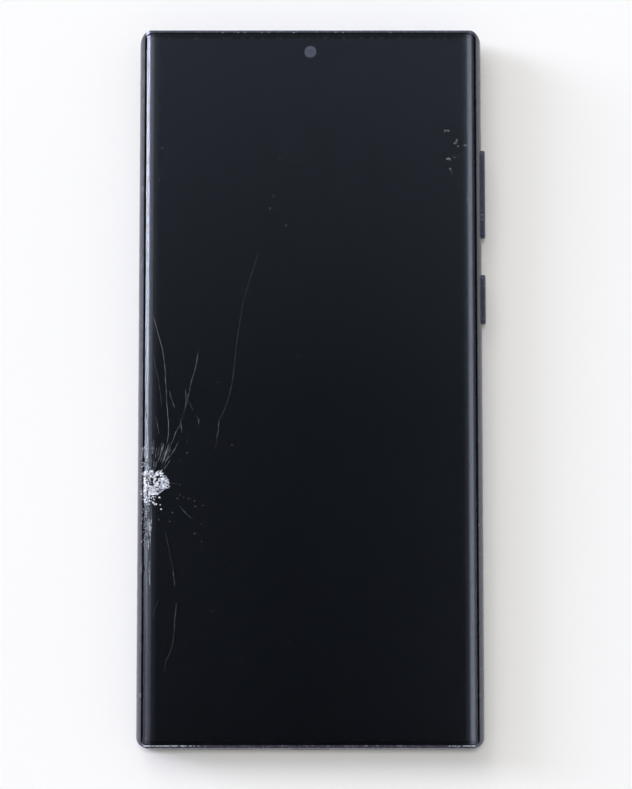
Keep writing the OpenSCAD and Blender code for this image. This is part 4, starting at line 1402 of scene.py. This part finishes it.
def ceiling_glow(sky, x, y):
    """Dark over the phone's foot, brighter towards and beyond its top end."""
    glow = sky.ramp(y, 0.0, 0.4, 0.025, 0.179, "LINEAR")
    glow = sky.sum(glow, sky.ramp(y, 0.13, 0.4, 0.0, 0.328, "LINEAR"))
    near_x = sky.ramp(sky.size(x), 0.2, 0.45, 1.0, 0.2)
    glow = sky.sum(glow, sky.times(sky.ramp(y, 0.45, 0.85, 0.0, 0.9), near_x))
    return sky.times(glow, sky.ramp(y, 0.86, 0.97, 1.0, 0.3))


def side_glow(sky, x, y, z):
    """Bright walls to the left and right, with a window low on the left."""
    left = sky.times(x, -1.0)
    along = sky.ramp(y, 0.0, 0.2)
    left_wall = sky.sum(sky.ramp(left, 0.0, 0.42, 0.0, 0.85), sky.ramp(left, 0.5, 0.85, 0.0, 0.8))
    left_wall = sky.times(left_wall, sky.sum(0.7, sky.times(along, 0.3)))
    window = sky.times(sky.ramp(left, 0.7, 0.84), sky.ramp(z, 0.06, 0.14))
    window = sky.times(window, sky.ramp(y, 0.05, 0.2, 0.0, 15.0))
    shaded = sky.times(sky.ramp(x, 0.7, 0.97), along)
    right_wall = sky.times(sky.ramp(x, 0.0, 0.56, 0.0, 1.75), sky.sum(1.0, shaded, "SUBTRACT"))
    sides = sky.sum(sky.sum(window, left_wall), right_wall)
    return sky.times(sides, sky.ramp(sky.size(y), 0.3, 0.6, 1.0, 0.25))


def studio_world():
    """Glass and metal mirror a dim room, matt surfaces get plain light, and the backdrop is pale."""
    world = bpy.data.worlds.new("studio")
    bpy.context.scene.world = world
    world.use_nodes = True
    sky = Nodes(world.node_tree)
    sky.tree.nodes.clear()
    split = sky.node("ShaderNodeSeparateXYZ")
    sky.wire(sky.node("ShaderNodeTexCoord").outputs["Generated"], split.inputs[0])
    x, y, z = split.outputs
    mirrored = sky.node("ShaderNodeAddShader")
    sky.wire(background(sky, (0.68, 0.81, 1.0), ceiling_glow(sky, x, y)), mirrored.inputs[0])
    sky.wire(background(sky, (0.76, 0.81, 1.0), side_glow(sky, x, y, z)), mirrored.inputs[1])
    seen = mirrored.outputs[0]
    path = sky.node("ShaderNodeLightPath")
    plain = background(sky, (1.0, 1.0, 1.0), 0.36)
    backdrop = background(sky, (0.93, 0.93, 0.93), 1.0)
    for ray, shown in (("Is Diffuse Ray", plain), ("Is Camera Ray", backdrop)):
        mix = sky.node("ShaderNodeMixShader")
        sky.wire(path.outputs[ray], mix.inputs[0])
        sky.wire(seen, mix.inputs[1])
        sky.wire(shown, mix.inputs[2])
        seen = mix.outputs[0]
    sky.wire(seen, sky.node("ShaderNodeOutputWorld").inputs["Surface"])


def studio():
    """The world, and two soft lamps: one over the phone and one like a window beyond its top left."""
    studio_world()
    lamp("overhead", (0, 0.05, 3), (0, 0, 0), (0.5, 0.5), 30.3)
    lamp("side_window", (-1.1, 1.6, 2.6), (0, 0, 0), (2.2, 2.2), 33)


# ---------------------------------------------------------------- all together


add_camera()
metal = metal_paint()
glue = glue_paint()
camera_black = camera_black_paint()
lens_clear = lens_glass_paint()
coated = coated_lens_paint()
steel = steel_paint()
stylus_black = stylus_paint()
black_plastic = black_plastic_paint()
board = board_paint()
copper = copper_paint()
chip = chip_paint()
graphite = graphite_paint()
flex = flex_paint()

frame_pieces(metal, split_paint())
broken_cover_glass(cover_glass_paint())
display(display_paint())
glue_line(glue)
rear_cover(rear_glass_paint())
side_key("volume_rocker", "rocker_key", "volume_rocker", metal)
side_key("power_key", "lock_key", "power_key", metal)
dice = random.Random(7)
splinters = shard_shapes(dice)
crushed_zone(crushed_paint(), glue, splinters, dice)
cracks(dice)
specks(splinters, dice)
scuffs(splinters, dice)
rim_nicks_and_highlights(splinters, dice)
for splinter in splinters:
    bpy.data.objects.remove(splinter)
for place_name in ("upper", "middle", "lower"):
    camera(place_name, metal, lens_clear, coated)

finish_nodes(
    [
        (graphite, ["backing_sheet", "ferrite_sheet"]),
        (glue, ["rear_gasket", "battery_adhesive"]),
        (camera_black, ["camera_module_upper", "camera_module_middle", "camera_module_lower", "stylus_nib"]),
        (flash_paint(), ["flash_lens"]),
        (selfie_lens_paint(), ["front_camera"]),
        (
            steel,
            [
                "earpiece", "board_shield", "cover_screws", "socket_shell", "bottom_microphone",
                "vibration_motor", "card_socket", "key_bracket", "key_domes",
            ],
        ),
        (mesh_paint(), ["speaker_mesh"]),
        (copper, ["vapour_chamber", "charging_coil", "stylus_core"]),
        (chip, ["fingerprint_sensor", "processor", "memory_chip"]),
        (board, ["main_board", "sub_board", "stylus_board"]),
        (black_plastic, ["upper_cover", "lower_cover", "socket_tongue", "loudspeaker", "stylus_silo"]),
        (battery_paint(), ["battery"]),
        (flex, ["interconnect_flex", "display_flex", "key_flex"]),
        (metal, ["card_tray", "stylus_clicker"]),
        (card_paint(), ["card"]),
        (stylus_black, ["stylus_barrel", "stylus_tip", "stylus_button"]),
    ]
)

table_top()
studio()
bpy.context.scene.view_settings.view_transform = "Standard"
